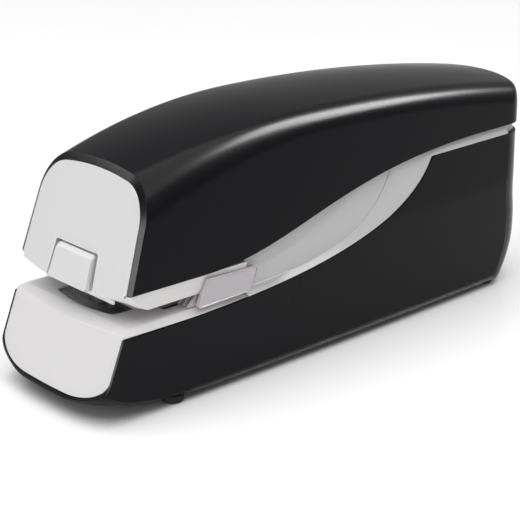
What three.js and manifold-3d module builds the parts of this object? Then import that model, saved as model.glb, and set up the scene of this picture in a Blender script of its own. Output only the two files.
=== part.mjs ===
// Portable electric stapler: a fixed two-part casing with a front-loading staple magazine,
// a motor, a gear train, a drive lever and a driver blade inside. Millimetres, +Z up.
// The origin is on the table under the middle of the body, +X runs from the nose to the back.
import * as THREE from "three";
import { mergeVertices } from "three/addons/utils/BufferGeometryUtils.js";
import Module from "manifold-3d";

const wasm = await Module();
wasm.setup();

// ---------- driving dimensions ----------
const GAP = 0.3; // clearance between neighbouring pieces
const WALL = 2.2; // thickness of the outer covers
const BASE_Z = 3; // underside of the body, on its feet

// plan of the body
const HALF_WIDTH = 33.8;
const WAIST_X = -5; // where the body is widest
const WAIST_FALL = 1.1; // narrowing of each side 100 mm away from there
const DRAFT = 0.085; // lean of the sides above the throat
const DRAFT_Z = 46;
const BACK_X = 118;
const BACK_RADIUS = 41; // the back is a round arc in plan
const BACK_CORNER = 5;

// nose of the base
const NOSE_X = -109.4; // nose centre at the crease
const CREASE_Z = 30.7;
const NOSE_LEAN = 0.402; // run per rise
const NOSE_BOW = 2.4; // how far the centre stands ahead of the sides
const NOSE_HALF = 33;
const TUCK_Z = 7.5; // the nose turns under below here
const TUCK = 13.6; // how far it turns back at the underside
const CORNER_Z = 16; // the nose's corners grow round below here
const CORNER_ALONG = 38.8; // their size at the underside, beyond the small edge radius
const CORNER_ACROSS = 43.3;
const EDGE_RADIUS = 1.5;

// front of the head
const FRONT_X = -102.4;
const FRONT_Z = 46.3;
const FRONT_LEAN = 0.34;
const RIM_WIDTH = 1.9; // chamfer of the cover's front rim, across and forward
const RIM_RISE = 1.0;
const PANEL_FACE = -0.9; // the front panel's edge, ahead of the front plane
const PANEL_BOW = 1.1; // how much farther its middle stands ahead
const PANEL_BACK = 2.7;
const ARCH_LOW = 42.4; // lower edge of the front panel: an arch that rises to the sides
const ARCH_RISE = 2.6;
const ARCH_HALF = 32;

// crown of the head
const CROWN_Z = 96.4;
const CROWN_X = -11.7;
const CROWN_FRONT_RADIUS = 270;
const CROWN_BACK_RADIUS = 740;
const CROWN_SAG = 0.0038; // fall of the crown per mm squared off the centre line
const CORNER_RADIUS = 9.5;
const CORNER_GROWTH = 5.8; // extra corner radius at the front
const CORNER_RUN = 77; // length over which the corner radius grows

// throat
const DECK_Z = 34;
const SKIRT_Z = 39.1;
const HEAD_EDGE_Z = 46.3;
const BASE_EDGE_Z = 31.4;
const BAND_LOW_Z = 65.4;
const BAND_TOP_Z = 69.5;
const DECK_SIDE_Z = 31.8; // underside of the deck's chamfered edge
const DECK_END = -50.2; // the deck meets the side panels here, under the paper stop
const PANEL_INSET = 2.9; // the pale side panels stand this far inside the covers' faces

// staple magazine
const STAPLE_HALF = 6.4;
const STAPLE_TOP = 48.1;
const STAPLE_FOOT = 41.4;
const WIRE = 0.5;
const MAGAZINE_HALF = 8.2;
const MAGAZINE_BOTTOM = 40;
const MAGAZINE_TOP = 49;
const MAGAZINE_FRONT = -97;
const MAGAZINE_BACK = -25;
const PASSAGE_HALF = 9.4; // clear way for the magazine through the tray and the chassis
const TAB_HALF = 12;
const TAB_LOW = 42;
const TAB_HIGH = 56.3;
const TAB_PROUD = 3; // ahead of the front plane
const TAB_PIN_X = -99.8;
const TAB_PIN_Z = 43.6;
const BLADE_X = -92;
const ANVIL_FRONT = -101.4;
const ANVIL_BACK = -89.4;
const ANVIL_HALF = 16.6;
const ANVIL_BOW = 2.8; // the sides of the front edge stand this far back
const BLADE_THICK = 0.8;

// gear train, module in mm, axes parallel to Y at one height
const MODULE = 0.8;
const GEAR_Z = 70;
const CAM_X = 4;
const CAM_TEETH = 40;
const WHEEL_TEETH = 32;
const PINION_TEETH = 10;
const CAM_PINION_TEETH = 12;
const GEAR_B_X = CAM_X + (MODULE * (CAM_TEETH + CAM_PINION_TEETH)) / 2;
const GEAR_A_X = GEAR_B_X + (MODULE * (WHEEL_TEETH + PINION_TEETH)) / 2;
const MOTOR_X = GEAR_A_X + (MODULE * (WHEEL_TEETH + PINION_TEETH)) / 2;
const CRANK_ORBIT = 5;
const CRANK_RADIUS = 2.5;

const CAM_AXLE_RADIUS = 2;
const GEAR_AXLE_RADIUS = 1.5;
const AXLE_END = 19.9; // all axles end just inside the outer plate
const AXLE_START = -9.9;
const MOTOR_RADIUS = 12;

// drive lever
const PIVOT_X = -28;
const PIVOT_Z = 66;
const LEVER_HALF = 1.5;
const PIVOT_RADIUS = 2.5;

// gearbox plates
const PLATE_X = -38;
const PLATE_LOW = 50;
const PLATE_INNER_Y = -10;
const PLATE_OUTER_Y = 18.5;
const PLATE_THICK = 1.5;
const POST_RADIUS = 2.2;

// chassis
const CHASSIS_X0 = -46.2;
const CHASSIS_X1 = 100;
const CHASSIS_HALF = 27;
const CHASSIS_LOW = 24;
const CHASSIS_TOP = 26;
const BOARD_X = 88;
const BOARD_HALF = 23;

// batteries
const CELL_RADIUS = 7.1;
const CELL_LENGTH = 49.3;
const CELL_Z = 12.9;
const CELL_PITCH = 16;
const FRONT_CELLS_X = -39.2;
const BACK_CELLS_X = 12.6;
const CONTACT_THICK = 0.6;
const TRAY_HALF = 26.4;
const TRAY_WALL = 1.5;

// screws and feet
const SCREW_HEAD = 3;
const SCREW_SHANK = 1.5;
const SCREW_SLOT = 0.4;
const BOSS_RADIUS = 3.6;
const BORE_RADIUS = 1.9;
const FOOT_RADIUS = 4.2;

// ---------- helpers ----------
const clamp = (v, low, high) => Math.min(high, Math.max(low, v));
const lerp = (a, b, t) => a + (b - a) * t;
const smooth = (v) => {
  const t = clamp(v, 0, 1);
  return t * t * (3 - 2 * t);
};

// A closed three.js geometry as a solid that can be cut and joined.
function solid(geometry) {
  const bare = geometry.clone();
  for (const name of Object.keys(bare.attributes)) {
    if (name !== "position") bare.deleteAttribute(name);
  }
  const merged = mergeVertices(bare, 1e-4);
  const triVerts = [];
  for (let i = 0; i < merged.index.count; i += 3) {
    const [a, b, c] = [0, 1, 2].map((k) => merged.index.getX(i + k));
    if (a !== b && b !== c && c !== a) triVerts.push(a, b, c);
  }
  const mesh = new wasm.Mesh({
    numProp: 3,
    vertProperties: new Float32Array(merged.attributes.position.array),
    triVerts: new Uint32Array(triVerts),
  });
  return new wasm.Manifold(mesh);
}

function geometryOf(form) {
  const mesh = form.getMesh();
  const geometry = new THREE.BufferGeometry();
  geometry.setAttribute("position", new THREE.BufferAttribute(mesh.vertProperties, 3));
  geometry.setIndex(new THREE.BufferAttribute(mesh.triVerts, 1));
  const flat = geometry.toNonIndexed();
  flat.computeVertexNormals();
  return flat;
}

const join = (...forms) => forms.reduce((a, b) => a.add(b));
const cut = (form, ...tools) => tools.reduce((a, b) => a.subtract(b), form);

function box(x0, x1, y0, y1, z0, z1) {
  const geometry = new THREE.BoxGeometry(x1 - x0, y1 - y0, z1 - z0);
  return solid(geometry.translate((x0 + x1) / 2, (y0 + y1) / 2, (z0 + z1) / 2));
}

// A box on one side of the centre line, from inner to outer off it.
const sided = (side, inner, outer, x0, x1, z0, z1) =>
  box(x0, x1, Math.min(side * inner, side * outer), Math.max(side * inner, side * outer), z0, z1);

// A cylinder along Y between y0 and y1, centred on (x, z).
function rodY(x, z, radius, y0, y1, sides = 20) {
  const geometry = new THREE.CylinderGeometry(radius, radius, y1 - y0, sides);
  return solid(geometry.translate(x, (y0 + y1) / 2, z));
}

function rodZ(x, y, radius, z0, z1, sides = 20) {
  const geometry = new THREE.CylinderGeometry(radius, radius, z1 - z0, sides).rotateX(Math.PI / 2);
  return solid(geometry.translate(x, y, (z0 + z1) / 2));
}

function rodX(y, z, radius, x0, x1, sides = 20) {
  const geometry = new THREE.CylinderGeometry(radius, radius, x1 - x0, sides).rotateZ(Math.PI / 2);
  return solid(geometry.translate((x0 + x1) / 2, y, z));
}

function outline(points, holes = []) {
  const shape = new THREE.Shape(points.map(([a, b]) => new THREE.Vector2(a, b)));
  shape.holes = holes.map((ring) => new THREE.Path(ring.map(([a, b]) => new THREE.Vector2(a, b))));
  return shape;
}

function extrude(shape, depth, curveSegments = 12) {
  return new THREE.ExtrudeGeometry(shape, { depth, bevelEnabled: false, curveSegments });
}

// A prism of an (x, z) outline between y0 and y1.
function prismY(points, y0, y1, holes = []) {
  const geometry = extrude(outline(points, holes), y1 - y0).rotateX(Math.PI / 2);
  return solid(geometry.translate(0, y1, 0));
}

// A prism of an (x, y) outline between z0 and z1.
const prismZ = (points, z0, z1) => solid(extrude(outline(points), z1 - z0).translate(0, 0, z0));

// A prism of a (y, z) outline between x0 and x1.
function prismX(points, x0, x1) {
  const geometry = extrude(outline(points), x1 - x0);
  const turn = new THREE.Matrix4().makeBasis(
    new THREE.Vector3(0, 1, 0), new THREE.Vector3(0, 0, 1), new THREE.Vector3(1, 0, 0));
  return solid(geometry.applyMatrix4(turn).translate(x0, 0, 0));
}

const ring = (cx, cz, radius, sides = 20) =>
  Array.from({ length: sides }, (_, i) => {
    const angle = (2 * Math.PI * i) / sides;
    return [cx + radius * Math.cos(angle), cz + radius * Math.sin(angle)];
  });

const bezier = (a, b, c, d, steps) =>
  new THREE.CubicBezierCurve(...[a, b, c, d].map((p) => new THREE.Vector2(...p)))
    .getPoints(steps)
    .map((p) => [p.x, p.y]);

// ---------- form of the body ----------
const halfWidth = (x, z) =>
  HALF_WIDTH - WAIST_FALL * ((x - WAIST_X) / 100) ** 2 - DRAFT * Math.max(0, z - DRAFT_Z);

const roundOff = (overrun, a, b) =>
  overrun <= 0 ? 0 : a * (1 - Math.sqrt(1 - Math.min(1, overrun / b) ** 2));

// Front of the base at (y, z): a leaning, bowed face whose corners round off towards the floor.
function noseAt(y, z, inset) {
  const tuck = z < TUCK_Z ? TUCK * ((TUCK_Z - z) / (TUCK_Z - BASE_Z)) ** 2 : 0;
  const round = clamp((CORNER_Z - z) / (CORNER_Z - BASE_Z), 0, 1) ** 2.2;
  const [along, across] = [EDGE_RADIUS + CORNER_ALONG * round, EDGE_RADIUS + CORNER_ACROSS * round];
  const side = halfWidth(-80, z) - inset;
  return (
    NOSE_X + NOSE_LEAN * (z - CREASE_Z) + tuck + NOSE_BOW * (y / NOSE_HALF) ** 2 +
    roundOff(Math.abs(y) - (side - across), along, across) + inset
  );
}

// Back of the body at (y, z): an arc in plan, tucked under near the floor.
function backAt(y, z, inset) {
  const tuck = z < 24 ? 7 * ((24 - z) / 21) ** 2 : 1.3 * smooth((z - 28) / 14);
  const side = halfWidth(105, z) - inset;
  const arc = BACK_X - BACK_RADIUS + Math.sqrt(BACK_RADIUS ** 2 - y ** 2);
  return arc - tuck - inset - roundOff(Math.abs(y) - (side - BACK_CORNER), BACK_CORNER, BACK_CORNER);
}

// A box whose surface is moved point by point: place(u, v, t) takes 0..1, -1..1 and 0..1.
function formedBox(along, across, up, place) {
  const geometry = new THREE.BoxGeometry(1, 2, 1, along, across, up);
  const position = geometry.attributes.position;
  for (let i = 0; i < position.count; i++) {
    const [u, v, t] = [position.getX(i) + 0.5, position.getY(i), position.getZ(i) + 0.5];
    position.setXYZ(i, ...place(u, v, t));
  }
  return solid(geometry);
}

// The body below the head, from z0 to z1, shrunk by inset on the sides, front and back.
// The rows of points lie closer towards the floor, with one where the nose stands farthest forward.
const ROW_GROWTH = 1.565;
function baseForm(inset, z0, z1, along = 22, across = 18, up = 12) {
  return formedBox(along, across, up, (u, v, t) => {
    const z = z0 + (z1 - z0) * t ** ROW_GROWTH;
    const edge = z < 6 ? 0.8 * ((6 - z) / 3) ** 2 : 0;
    const half = halfWidth(lerp(-105, 108, u), z) - edge - inset;
    const y = half * Math.sin((v * Math.PI) / 2);
    return [lerp(noseAt(y, z, inset), backAt(y, z, inset), u), y, z];
  });
}

function crownAt(x, y) {
  const radius = x < CROWN_X ? CROWN_FRONT_RADIUS : CROWN_BACK_RADIUS;
  const run = x - CROWN_X;
  return CROWN_Z - (radius - Math.sqrt(radius ** 2 - run ** 2)) - CROWN_SAG * y ** 2;
}

// Section of the head at x: (v, t) runs over a rounded-top box; the corner arc is shared
// between the side wall and the top.
const ARC_STEPS = 3;
const WALL_STEPS = 2;
const CROWN_STEPS = 3;
const UP_STEPS = WALL_STEPS + ARC_STEPS;
const ACROSS_STEPS = CROWN_STEPS + ARC_STEPS;
function headSection(x, v, t, inset, z0) {
  const radius = CORNER_RADIUS + CORNER_GROWTH * clamp((CROWN_X - x) / CORNER_RUN, 0, 1) ** 2 - inset;
  const onArc = (angle) => {
    const top = crownAt(x, halfWidth(x, 80) - radius * (1 - Math.cos(angle)) - inset) - inset;
    const z = top - radius + radius * Math.sin(angle);
    const start = top - radius;
    return [halfWidth(x, start) - inset - radius * (1 - Math.cos(angle)), z];
  };
  const steps = t * UP_STEPS;
  const wallTop = onArc(0);
  let side;
  if (steps <= WALL_STEPS) {
    const z = lerp(z0, wallTop[1], steps / WALL_STEPS);
    side = [halfWidth(x, z) - inset, z];
  } else {
    side = onArc(((steps - WALL_STEPS) / ARC_STEPS) * (Math.PI / 4));
  }
  const reach = Math.abs(v) * ACROSS_STEPS;
  let top;
  if (reach <= CROWN_STEPS) {
    const shoulder = onArc(Math.PI / 2);
    const y = shoulder[0] * (reach / CROWN_STEPS);
    top = [y, crownAt(x, y) - inset];
  } else {
    top = onArc(Math.PI / 2 - ((reach - CROWN_STEPS) / ARC_STEPS) * (Math.PI / 4));
  }
  const corner = onArc(Math.PI / 4);
  const y = (Math.sign(v) * top[0] * side[0]) / corner[0];
  const z = z0 + ((top[1] - z0) * (side[1] - z0)) / (corner[1] - z0);
  return [y, z];
}

function headForm(inset, x0, z0, along = 20) {
  return formedBox(along, 2 * ACROSS_STEPS, UP_STEPS, (u, v, t) => {
    let x = lerp(x0, BACK_X - 5, u);
    let [y, z] = [0, 0];
    for (let pass = 0; pass < 3; pass++) {
      [y, z] = headSection(x, v, t, inset, z0);
      x = lerp(x0, backAt(y, z, inset), u);
    }
    return [x, y, z];
  });
}

// Edge curves in side view.
const headEdge = (shift) => [
  [-140, HEAD_EDGE_Z + shift],
  ...bezier([-70.9, HEAD_EDGE_Z], [-26, HEAD_EDGE_Z], [-4.7, BAND_TOP_Z], [79.9, BAND_TOP_Z], 20)
    .map(([x, z]) => [x, z + shift]),
  [140, BAND_TOP_Z + shift],
];
const baseEdge = (shift) => [
  [-140, BASE_EDGE_Z + shift],
  ...bezier([-87.5, BASE_EDGE_Z], [-6, BASE_EDGE_Z], [37.4, 45.3], [48.7, BAND_LOW_Z], 18)
    .map(([x, z]) => [x, z + shift]),
  [140, BAND_LOW_Z + shift],
];
const REACH_Y = 45;
const frontAt = (z, offset = 0) => FRONT_X + FRONT_LEAN * (z - FRONT_Z) + offset;
// Everything ahead of the head's front plane moved back by offset.
const aheadOfFront = (offset) =>
  prismY([[-150, 20], [frontAt(20, offset), 20], [frontAt(110, offset), 110], [-150, 110]],
    -REACH_Y, REACH_Y);
const below = (edge, y0 = -REACH_Y, y1 = REACH_Y) =>
  prismY([[-140, -5], [140, -5], ...edge.slice().reverse()], y0, y1);
const above = (edge) => prismY([...edge, [140, 120], [-140, 120]], -REACH_Y, REACH_Y);

// ---------- casing ----------
// The front rim of the head: a block that narrows forward of the front plane.
function headRim() {
  const stations = [[-RIM_RISE, RIM_WIDTH], [0, 0], [2, 0.3]];
  return formedBox(2, 2 * ACROSS_STEPS, UP_STEPS, (u, v, t) => {
    const [offset, inset] = stations[Math.round(2 * u)];
    let x = FRONT_X;
    let [y, z] = [0, 0];
    for (let pass = 0; pass < 6; pass++) {
      [y, z] = headSection(x, v, t, inset, 43);
      x = frontAt(z, offset);
    }
    return [x, y, z];
  });
}

function upperCover() {
  const outside = join(cut(headForm(0, -116, 43), aheadOfFront(0)), headRim());
  return cut(outside, headForm(WALL, -120, 41, 14), below(headEdge(0)));
}

// Opening of the base's nose in front view, with elliptical lower corners.
const OPENING_HALF = 31.9;
function noseOpening(shrink) {
  const [centreY, centreZ] = [12, 17.4];
  const low = Array.from({ length: 9 }, (_, i) => {
    const angle = (Math.PI / 2) * (i / 8);
    return [
      centreY + (OPENING_HALF - centreY - shrink) * Math.cos(angle),
      centreZ - (9.2 - shrink) * Math.sin(angle),
    ];
  });
  const right = [[OPENING_HALF - shrink, 33.5], ...low];
  return [...right, ...right.slice().reverse().map(([y, z]) => [-y, z])];
}

const JACK_Z = 16;
const DOOR_X0 = -42;
const DOOR_X1 = 70;
const DOOR_HALF = 25;
const DOOR_TRAVEL = 6.5;
const SCREWS = [[-60, -22], [-60, 22], [92, -17], [92, 17]];
const FEET = [[-82, -27.6], [-82, 27.6], [92, -25], [92, 25]];

function lowerCover() {
  const chin = box(-130, -104, -REACH_Y, REACH_Y, 0, 8);
  const room = cut(baseForm(WALL, BASE_Z + WALL, 78, 16, 12, 7), chin);
  const shell = cut(baseForm(0, BASE_Z, 74), room);
  const open = cut(
    shell,
    above(baseEdge(0)),
    prismX(noseOpening(0), -125, -90),
    box(DOOR_X0 - 0.4, DOOR_X1 + 0.4 + DOOR_TRAVEL, -DOOR_HALF - 0.4, DOOR_HALF + 0.4, 0, 6),
    rodX(0, JACK_Z, 4.4, 100, 125, 20),
  );
  return cut(open, ...SCREWS.map(([x, y]) => rodZ(x, y, 3.4, 0, 8, 16)));
}

// Outline of the anvil plate in plan, grown all round; its front edge is bowed.
function anvilOutline(grow) {
  const half = ANVIL_HALF + grow;
  const front = Array.from({ length: 9 }, (_, i) => {
    const y = half * (1 - i / 4);
    return [ANVIL_FRONT - grow + ANVIL_BOW * (y / ANVIL_HALF) ** 2, y];
  });
  return [...front, [ANVIL_BACK + grow, -half], [ANVIL_BACK + grow, half]];
}

// The nose panel, the ramp behind the crease and the paper deck, as one moulding.
function baseDeck() {
  const panel = cut(baseForm(0.4, BASE_Z, 33.9, 8, 18, 8), baseForm(2.8, 1, 36, 8, 12, 6))
    .intersect(prismX(noseOpening(GAP), -125, -92));
  const chamfered = [[-32.7, DECK_SIDE_Z], [32.7, DECK_SIDE_Z], [30.4, DECK_Z], [-30.4, DECK_Z]];
  const slab = baseForm(0.4, DECK_SIDE_Z, DECK_Z, 8, 18, 2).intersect(prismX(chamfered, -125, DECK_END));
  const ramp = prismY([[-125, 31.2], [-110.4, 31.2], [-103, DECK_Z + 0.2], [-103, 40], [-125, 40]],
    -REACH_Y, REACH_Y);
  const front = SCREWS.slice(0, 2);
  const posts = front.map(([x, y]) => rodZ(x, y, BOSS_RADIUS, 6, 32.5, 16));
  const bores = front.map(([x, y]) => rodZ(x, y, BORE_RADIUS, 0, 18, 12));
  const beside = [-1, 1].map((side) => {
    const [y0, y1] = [side * 30.9, side * REACH_Y].sort((a, b) => a - b);
    return below(baseEdge(GAP), y0, y1).intersect(box(-95, -40, y0, y1, 20, 40));
  });
  const pockets = [-1, 1].map((side) => sided(side, 20, 27, -79, -69, 31, 40));
  return cut(
    join(panel, slab, ...posts),
    ramp,
    prismZ(anvilOutline(0.4), 25, 40),
    ...beside,
    ...pockets,
    ...bores,
  );
}

const archAt = (y, shift) => ARCH_LOW + ARCH_RISE * Math.abs(y / ARCH_HALF) ** 2.2 + shift;
const arch = (shift) =>
  Array.from({ length: 13 }, (_, i) => {
    const y = 40 - (80 * i) / 12;
    return [y, archAt(y, shift)];
  });

// A prism of an outline in plan that leans with the head's front; x is the offset from the front.
function leaning(points, z0, z1) {
  const lean = new THREE.Matrix4().set(
    1, 0, FRONT_LEAN, FRONT_X - FRONT_LEAN * FRONT_Z, 0, 1, 0, 0, 0, 0, 1, 0, 0, 0, 0, 1);
  return solid(extrude(outline(points), z1 - z0).translate(0, 0, z0).applyMatrix4(lean));
}

function frontPanel() {
  const face = Array.from({ length: 13 }, (_, i) => {
    const y = ARCH_HALF * (1 - i / 6);
    return [PANEL_FACE - PANEL_BOW * (1 - (y / ARCH_HALF) ** 2), y];
  });
  const slab = leaning([...face, [PANEL_BACK, -ARCH_HALF], [PANEL_BACK, ARCH_HALF]], 30, 110);
  return cut(
    headForm(WALL + GAP, -118, 42, 6).intersect(slab),
    prismX([[-40, 30], [40, 30], ...arch(0)], -140, -60),
    box(-130, -80, -TAB_HALF - 0.5, TAB_HALF + 0.5, 30, TAB_HIGH + 0.5),
  );
}

// The white tray under the head: a floor with two side skirts whose front ends lean.
function upperFrame() {
  const section = [
    [-31, SKIRT_Z], [31, SKIRT_Z], [32.1, HEAD_EDGE_Z - GAP], [30.3, HEAD_EDGE_Z - GAP], [29.4, 41.1],
    [-29.4, 41.1], [-30.3, HEAD_EDGE_Z - GAP], [-32.1, HEAD_EDGE_Z - GAP],
  ];
  const tray = prismX(section, -110, DECK_END);
  const ahead = prismY(
    [[-120, 30], [-94, 30], [-95, SKIRT_Z], [-102.2, HEAD_EDGE_Z], [-120, HEAD_EDGE_Z]],
    -REACH_Y, REACH_Y);
  const panelRoom = prismX([[-40, 60], [40, 60], ...arch(-GAP)].reverse(), -140, -60)
    .intersect(aheadOfFront(PANEL_BACK + GAP));
  const slimmer = [-1, 1].map((side) => sided(side, 30.8, 40, -74.8, -40, 38, 47));
  const ribs = [-1, 1].map((side) => sided(side, 10, 11.5, -60, DECK_END, 40, 52.5));
  const open = cut(
    tray, ahead, panelRoom, ...slimmer,
    box(-120, -96.2, -29.6, 29.6, 30, 60),
    box(-120, -40, -PASSAGE_HALF, PASSAGE_HALF, 30, 50),
    box(-74, -63, 14.4, 18.6, 30, 46),
  );
  return join(open, ...ribs, box(-60, DECK_END, -10.5, 10.5, 51, 52.5));
}

// The pale wall between the two covers, one half for each side, with a proud lower border.
function sidePanel(side) {
  const room = baseForm(PANEL_INSET + 1.8, 15, 80, 14, 12, 6);
  const wall = cut(baseForm(PANEL_INSET, 20, 76, 20, 14, 8), room, above(headEdge(4)), below(baseEdge(-4)));
  const stopTrack = box(-60, -33, -REACH_Y, REACH_Y, DECK_Z, 50);
  const border = cut(
    baseForm(1.3, 20, 76, 20, 14, 8),
    room, above(baseEdge(1.4)), below(baseEdge(GAP)), stopTrack,
  );
  const far = [-side * REACH_Y, side * 0.15].sort((a, b) => a - b);
  return cut(
    join(wall, border),
    box(-130, DECK_END + 0.4, -REACH_Y, REACH_Y, 0, 100),
    box(-130, 130, ...far, 0, 100),
  );
}

const paperStop = () => {
  const outer = 33.1;
  const inner = 31.4;
  const block = [[-74.1, DECK_Z + GAP], [-48.9, DECK_Z + GAP], [-44, 44.6], [-69.8, 44.6]];
  return join(
    prismY(block, -outer, -inner),
    prismY(block, inner, outer),
    box(-65, -61, -inner - 0.7, inner + 0.7, 34.6, 38.6),
  );
};

const anvil = () => {
  const plate = prismZ(anvilOutline(0), 31, 33.4);
  const dish = rodX(0, 83, 50, -103, -88, 60);
  const grooves = [-1, 1].map((side) => sided(side, 0.8, 7, -93.4, -90.6, 32.4, 34));
  return cut(plate, dish, ...grooves);
};

// ---------- magazine ----------
// The channel, with a tongue that carries a wide strip under the front panel.
const magazineChannel = () =>
  cut(
    join(
      box(MAGAZINE_FRONT, MAGAZINE_BACK, -MAGAZINE_HALF, MAGAZINE_HALF, MAGAZINE_BOTTOM, MAGAZINE_TOP),
      box(-101, MAGAZINE_FRONT + 0.5, -7, 7, MAGAZINE_BOTTOM, MAGAZINE_BOTTOM + 0.9),
      box(-101.2, -100.4, -20, 20, 39.4, 41),
    ),
    box(MAGAZINE_FRONT + 0.9, MAGAZINE_BACK - 0.9, -7.3, 7.3, MAGAZINE_BOTTOM + 0.9, MAGAZINE_TOP + 1),
    box(-95.6, -90.9, -6.9, 6.9, 30, 42),
  );

const magazineCore = () =>
  cut(
    box(-90.6, -27, -5.4, 5.4, 41.3, 47.2),
    box(-92, -28, -4.6, 4.6, 42.2, 48),
  );

const stapleProfile = (inner) => [
  [-STAPLE_HALF, STAPLE_FOOT], [-STAPLE_HALF, STAPLE_TOP], [STAPLE_HALF, STAPLE_TOP],
  [STAPLE_HALF, STAPLE_FOOT], [inner, STAPLE_FOOT], [inner, STAPLE_TOP - WIRE],
  [-inner, STAPLE_TOP - WIRE], [-inner, STAPLE_FOOT],
].reverse();

const stapleStrip = () => prismX(stapleProfile(STAPLE_HALF - WIRE), -91.1, -62);

const staplePusher = () =>
  join(
    prismX(stapleProfile(STAPLE_HALF - WIRE), -61.6, -54),
    box(-61.6, -54, -4.2, 4.2, 43, STAPLE_TOP - WIRE + 0.2),
  );

// A coil of round wire: the path is a helix about the local Z axis.
function coil(radius, wire, turns, length, stepsPerTurn = 10) {
  class Helix extends THREE.Curve {
    getPoint(t, target = new THREE.Vector3()) {
      const angle = 2 * Math.PI * turns * t;
      return target.set(radius * Math.cos(angle), radius * Math.sin(angle), length * t);
    }
  }
  const section = new THREE.Shape(ring(0, 0, wire / 2, 5).map(([a, b]) => new THREE.Vector2(a, b)));
  return new THREE.ExtrudeGeometry(section, {
    steps: turns * stepsPerTurn, extrudePath: new Helix(), bevelEnabled: false,
  });
}

const magazineFront = () =>
  cut(box(-100.1, -97.3, -9.2, 9.2, 41.3, 46.6), rodY(TAB_PIN_X, TAB_PIN_Z, 1.1, -12, 12, 14));

function magazineTab() {
  const profile = [
    [frontAt(TAB_LOW, -TAB_PROUD), TAB_LOW], [frontAt(TAB_LOW, 0.4), TAB_LOW],
    [frontAt(TAB_HIGH, 0.9), TAB_HIGH], [frontAt(TAB_HIGH, -TAB_PROUD), TAB_HIGH],
  ];
  const slab = prismY(profile, -TAB_HALF, TAB_HALF);
  const ears = [-1, 1].map((side) => sided(side, 9.6, 11.4, frontAt(44, -1), -98.7, 42.2, 45.2));
  return cut(join(slab, ...ears), rodY(TAB_PIN_X, TAB_PIN_Z, 1.1, -11.45, 11.45, 14));
}

// ---------- drive ----------
// Outline of a spur gear with straight-sided, relieved teeth; a tooth is centred at angle turn.
function gearOutline(teeth, turn) {
  const pitch = (MODULE * teeth) / 2;
  const root = pitch - 1.2 * MODULE;
  const tip = pitch + 0.8 * MODULE;
  const step = (2 * Math.PI) / teeth;
  const marks = [[root, -0.3], [tip, -0.11], [tip, 0.11], [root, 0.3]];
  return Array.from({ length: teeth }, (_, i) =>
    marks.map(([radius, part]) => {
      const angle = turn + step * (i + part);
      return [radius * Math.cos(angle), radius * Math.sin(angle)];
    })).flat();
}

function gear(x, teeth, y0, y1, turn) {
  const points = gearOutline(teeth, turn).map(([a, b]) => [x + a, GEAR_Z + b]);
  return prismY(points, y0, y1);
}

const halfTooth = (teeth) => Math.PI / teeth;
// Each gear is turned so that a tooth of one faces a gap of the other on the line of centres.
const B_TURN = Math.PI + halfTooth(CAM_PINION_TEETH);
const A_TURN = Math.PI + halfTooth(PINION_TEETH);
const MOTOR_TURN = Math.PI + halfTooth(PINION_TEETH);

const camGear = () =>
  cut(
    join(gear(CAM_X, CAM_TEETH, 3, 8, 0), rodY(CAM_X + CRANK_ORBIT, GEAR_Z, CRANK_RADIUS, -2.6, 3.5, 16)),
    rodY(CAM_X, GEAR_Z, 2.1, -5, 12, 16),
  );
const gearB = () =>
  cut(
    join(
      gear(GEAR_B_X, CAM_PINION_TEETH, 3, 8.6, B_TURN),
      gear(GEAR_B_X, WHEEL_TEETH, 8.6, 12, 0),
    ),
    rodY(GEAR_B_X, GEAR_Z, 1.6, -5, 20, 12),
  );
const gearA = () =>
  cut(
    join(
      gear(GEAR_A_X, PINION_TEETH, 8.8, 13, A_TURN),
      gear(GEAR_A_X, WHEEL_TEETH, 13, 16, 0),
    ),
    rodY(GEAR_A_X, GEAR_Z, 1.6, -5, 20, 12),
  );
const rotor = () =>
  join(gear(MOTOR_X, PINION_TEETH, 12.9, 16.2, MOTOR_TURN), rodY(MOTOR_X, GEAR_Z, 1, 3.2, 17, 12));
const axle = (x, radius, y0, y1) => rodY(x, GEAR_Z, radius, y0, y1, 14);

const motor = () =>
  cut(
    join(rodY(MOTOR_X, GEAR_Z, MOTOR_RADIUS, -25, 1.6, 28), rodY(MOTOR_X, GEAR_Z, 3, 1, 4.6, 16)),
    rodY(MOTOR_X, GEAR_Z, 1.4, 2.4, 6, 12),
  );
const motorMount = () =>
  cut(
    box(44.2, 73, 1.9, 3.5, 51, 86),
    rodY(MOTOR_X, GEAR_Z, 3.4, -1, 6, 16),
  );

const POSTS = [[-30, 84], [30, 86.5], [30, 53], [-30, 53]];
const gearboxInner = () =>
  cut(
    join(
      box(PLATE_X, 40, PLATE_INNER_Y, PLATE_INNER_Y + PLATE_THICK, PLATE_LOW, 89),
      ...POSTS.map(([x, z]) => rodY(x, z, POST_RADIUS, -9, PLATE_OUTER_Y - GAP, 12)),
    ),
    rodY(PIVOT_X, PIVOT_Z, PIVOT_RADIUS + GAP / 2, -12, -7, 16),
    rodY(CAM_X, GEAR_Z, CAM_AXLE_RADIUS + GAP / 2, -12, -7, 14),
  );
const gearboxOuter = () =>
  cut(
    box(PLATE_X, 66, PLATE_OUTER_Y, PLATE_OUTER_Y + PLATE_THICK, PLATE_LOW, 88),
    rodY(PIVOT_X, PIVOT_Z, PIVOT_RADIUS + GAP / 2, 15, 22, 16),
    rodY(CAM_X, GEAR_Z, CAM_AXLE_RADIUS + GAP / 2, 15, 22, 14),
    rodY(GEAR_B_X, GEAR_Z, 1.55, 15, 22, 12),
    rodY(GEAR_A_X, GEAR_Z, 1.55, 15, 22, 12),
  );

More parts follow.
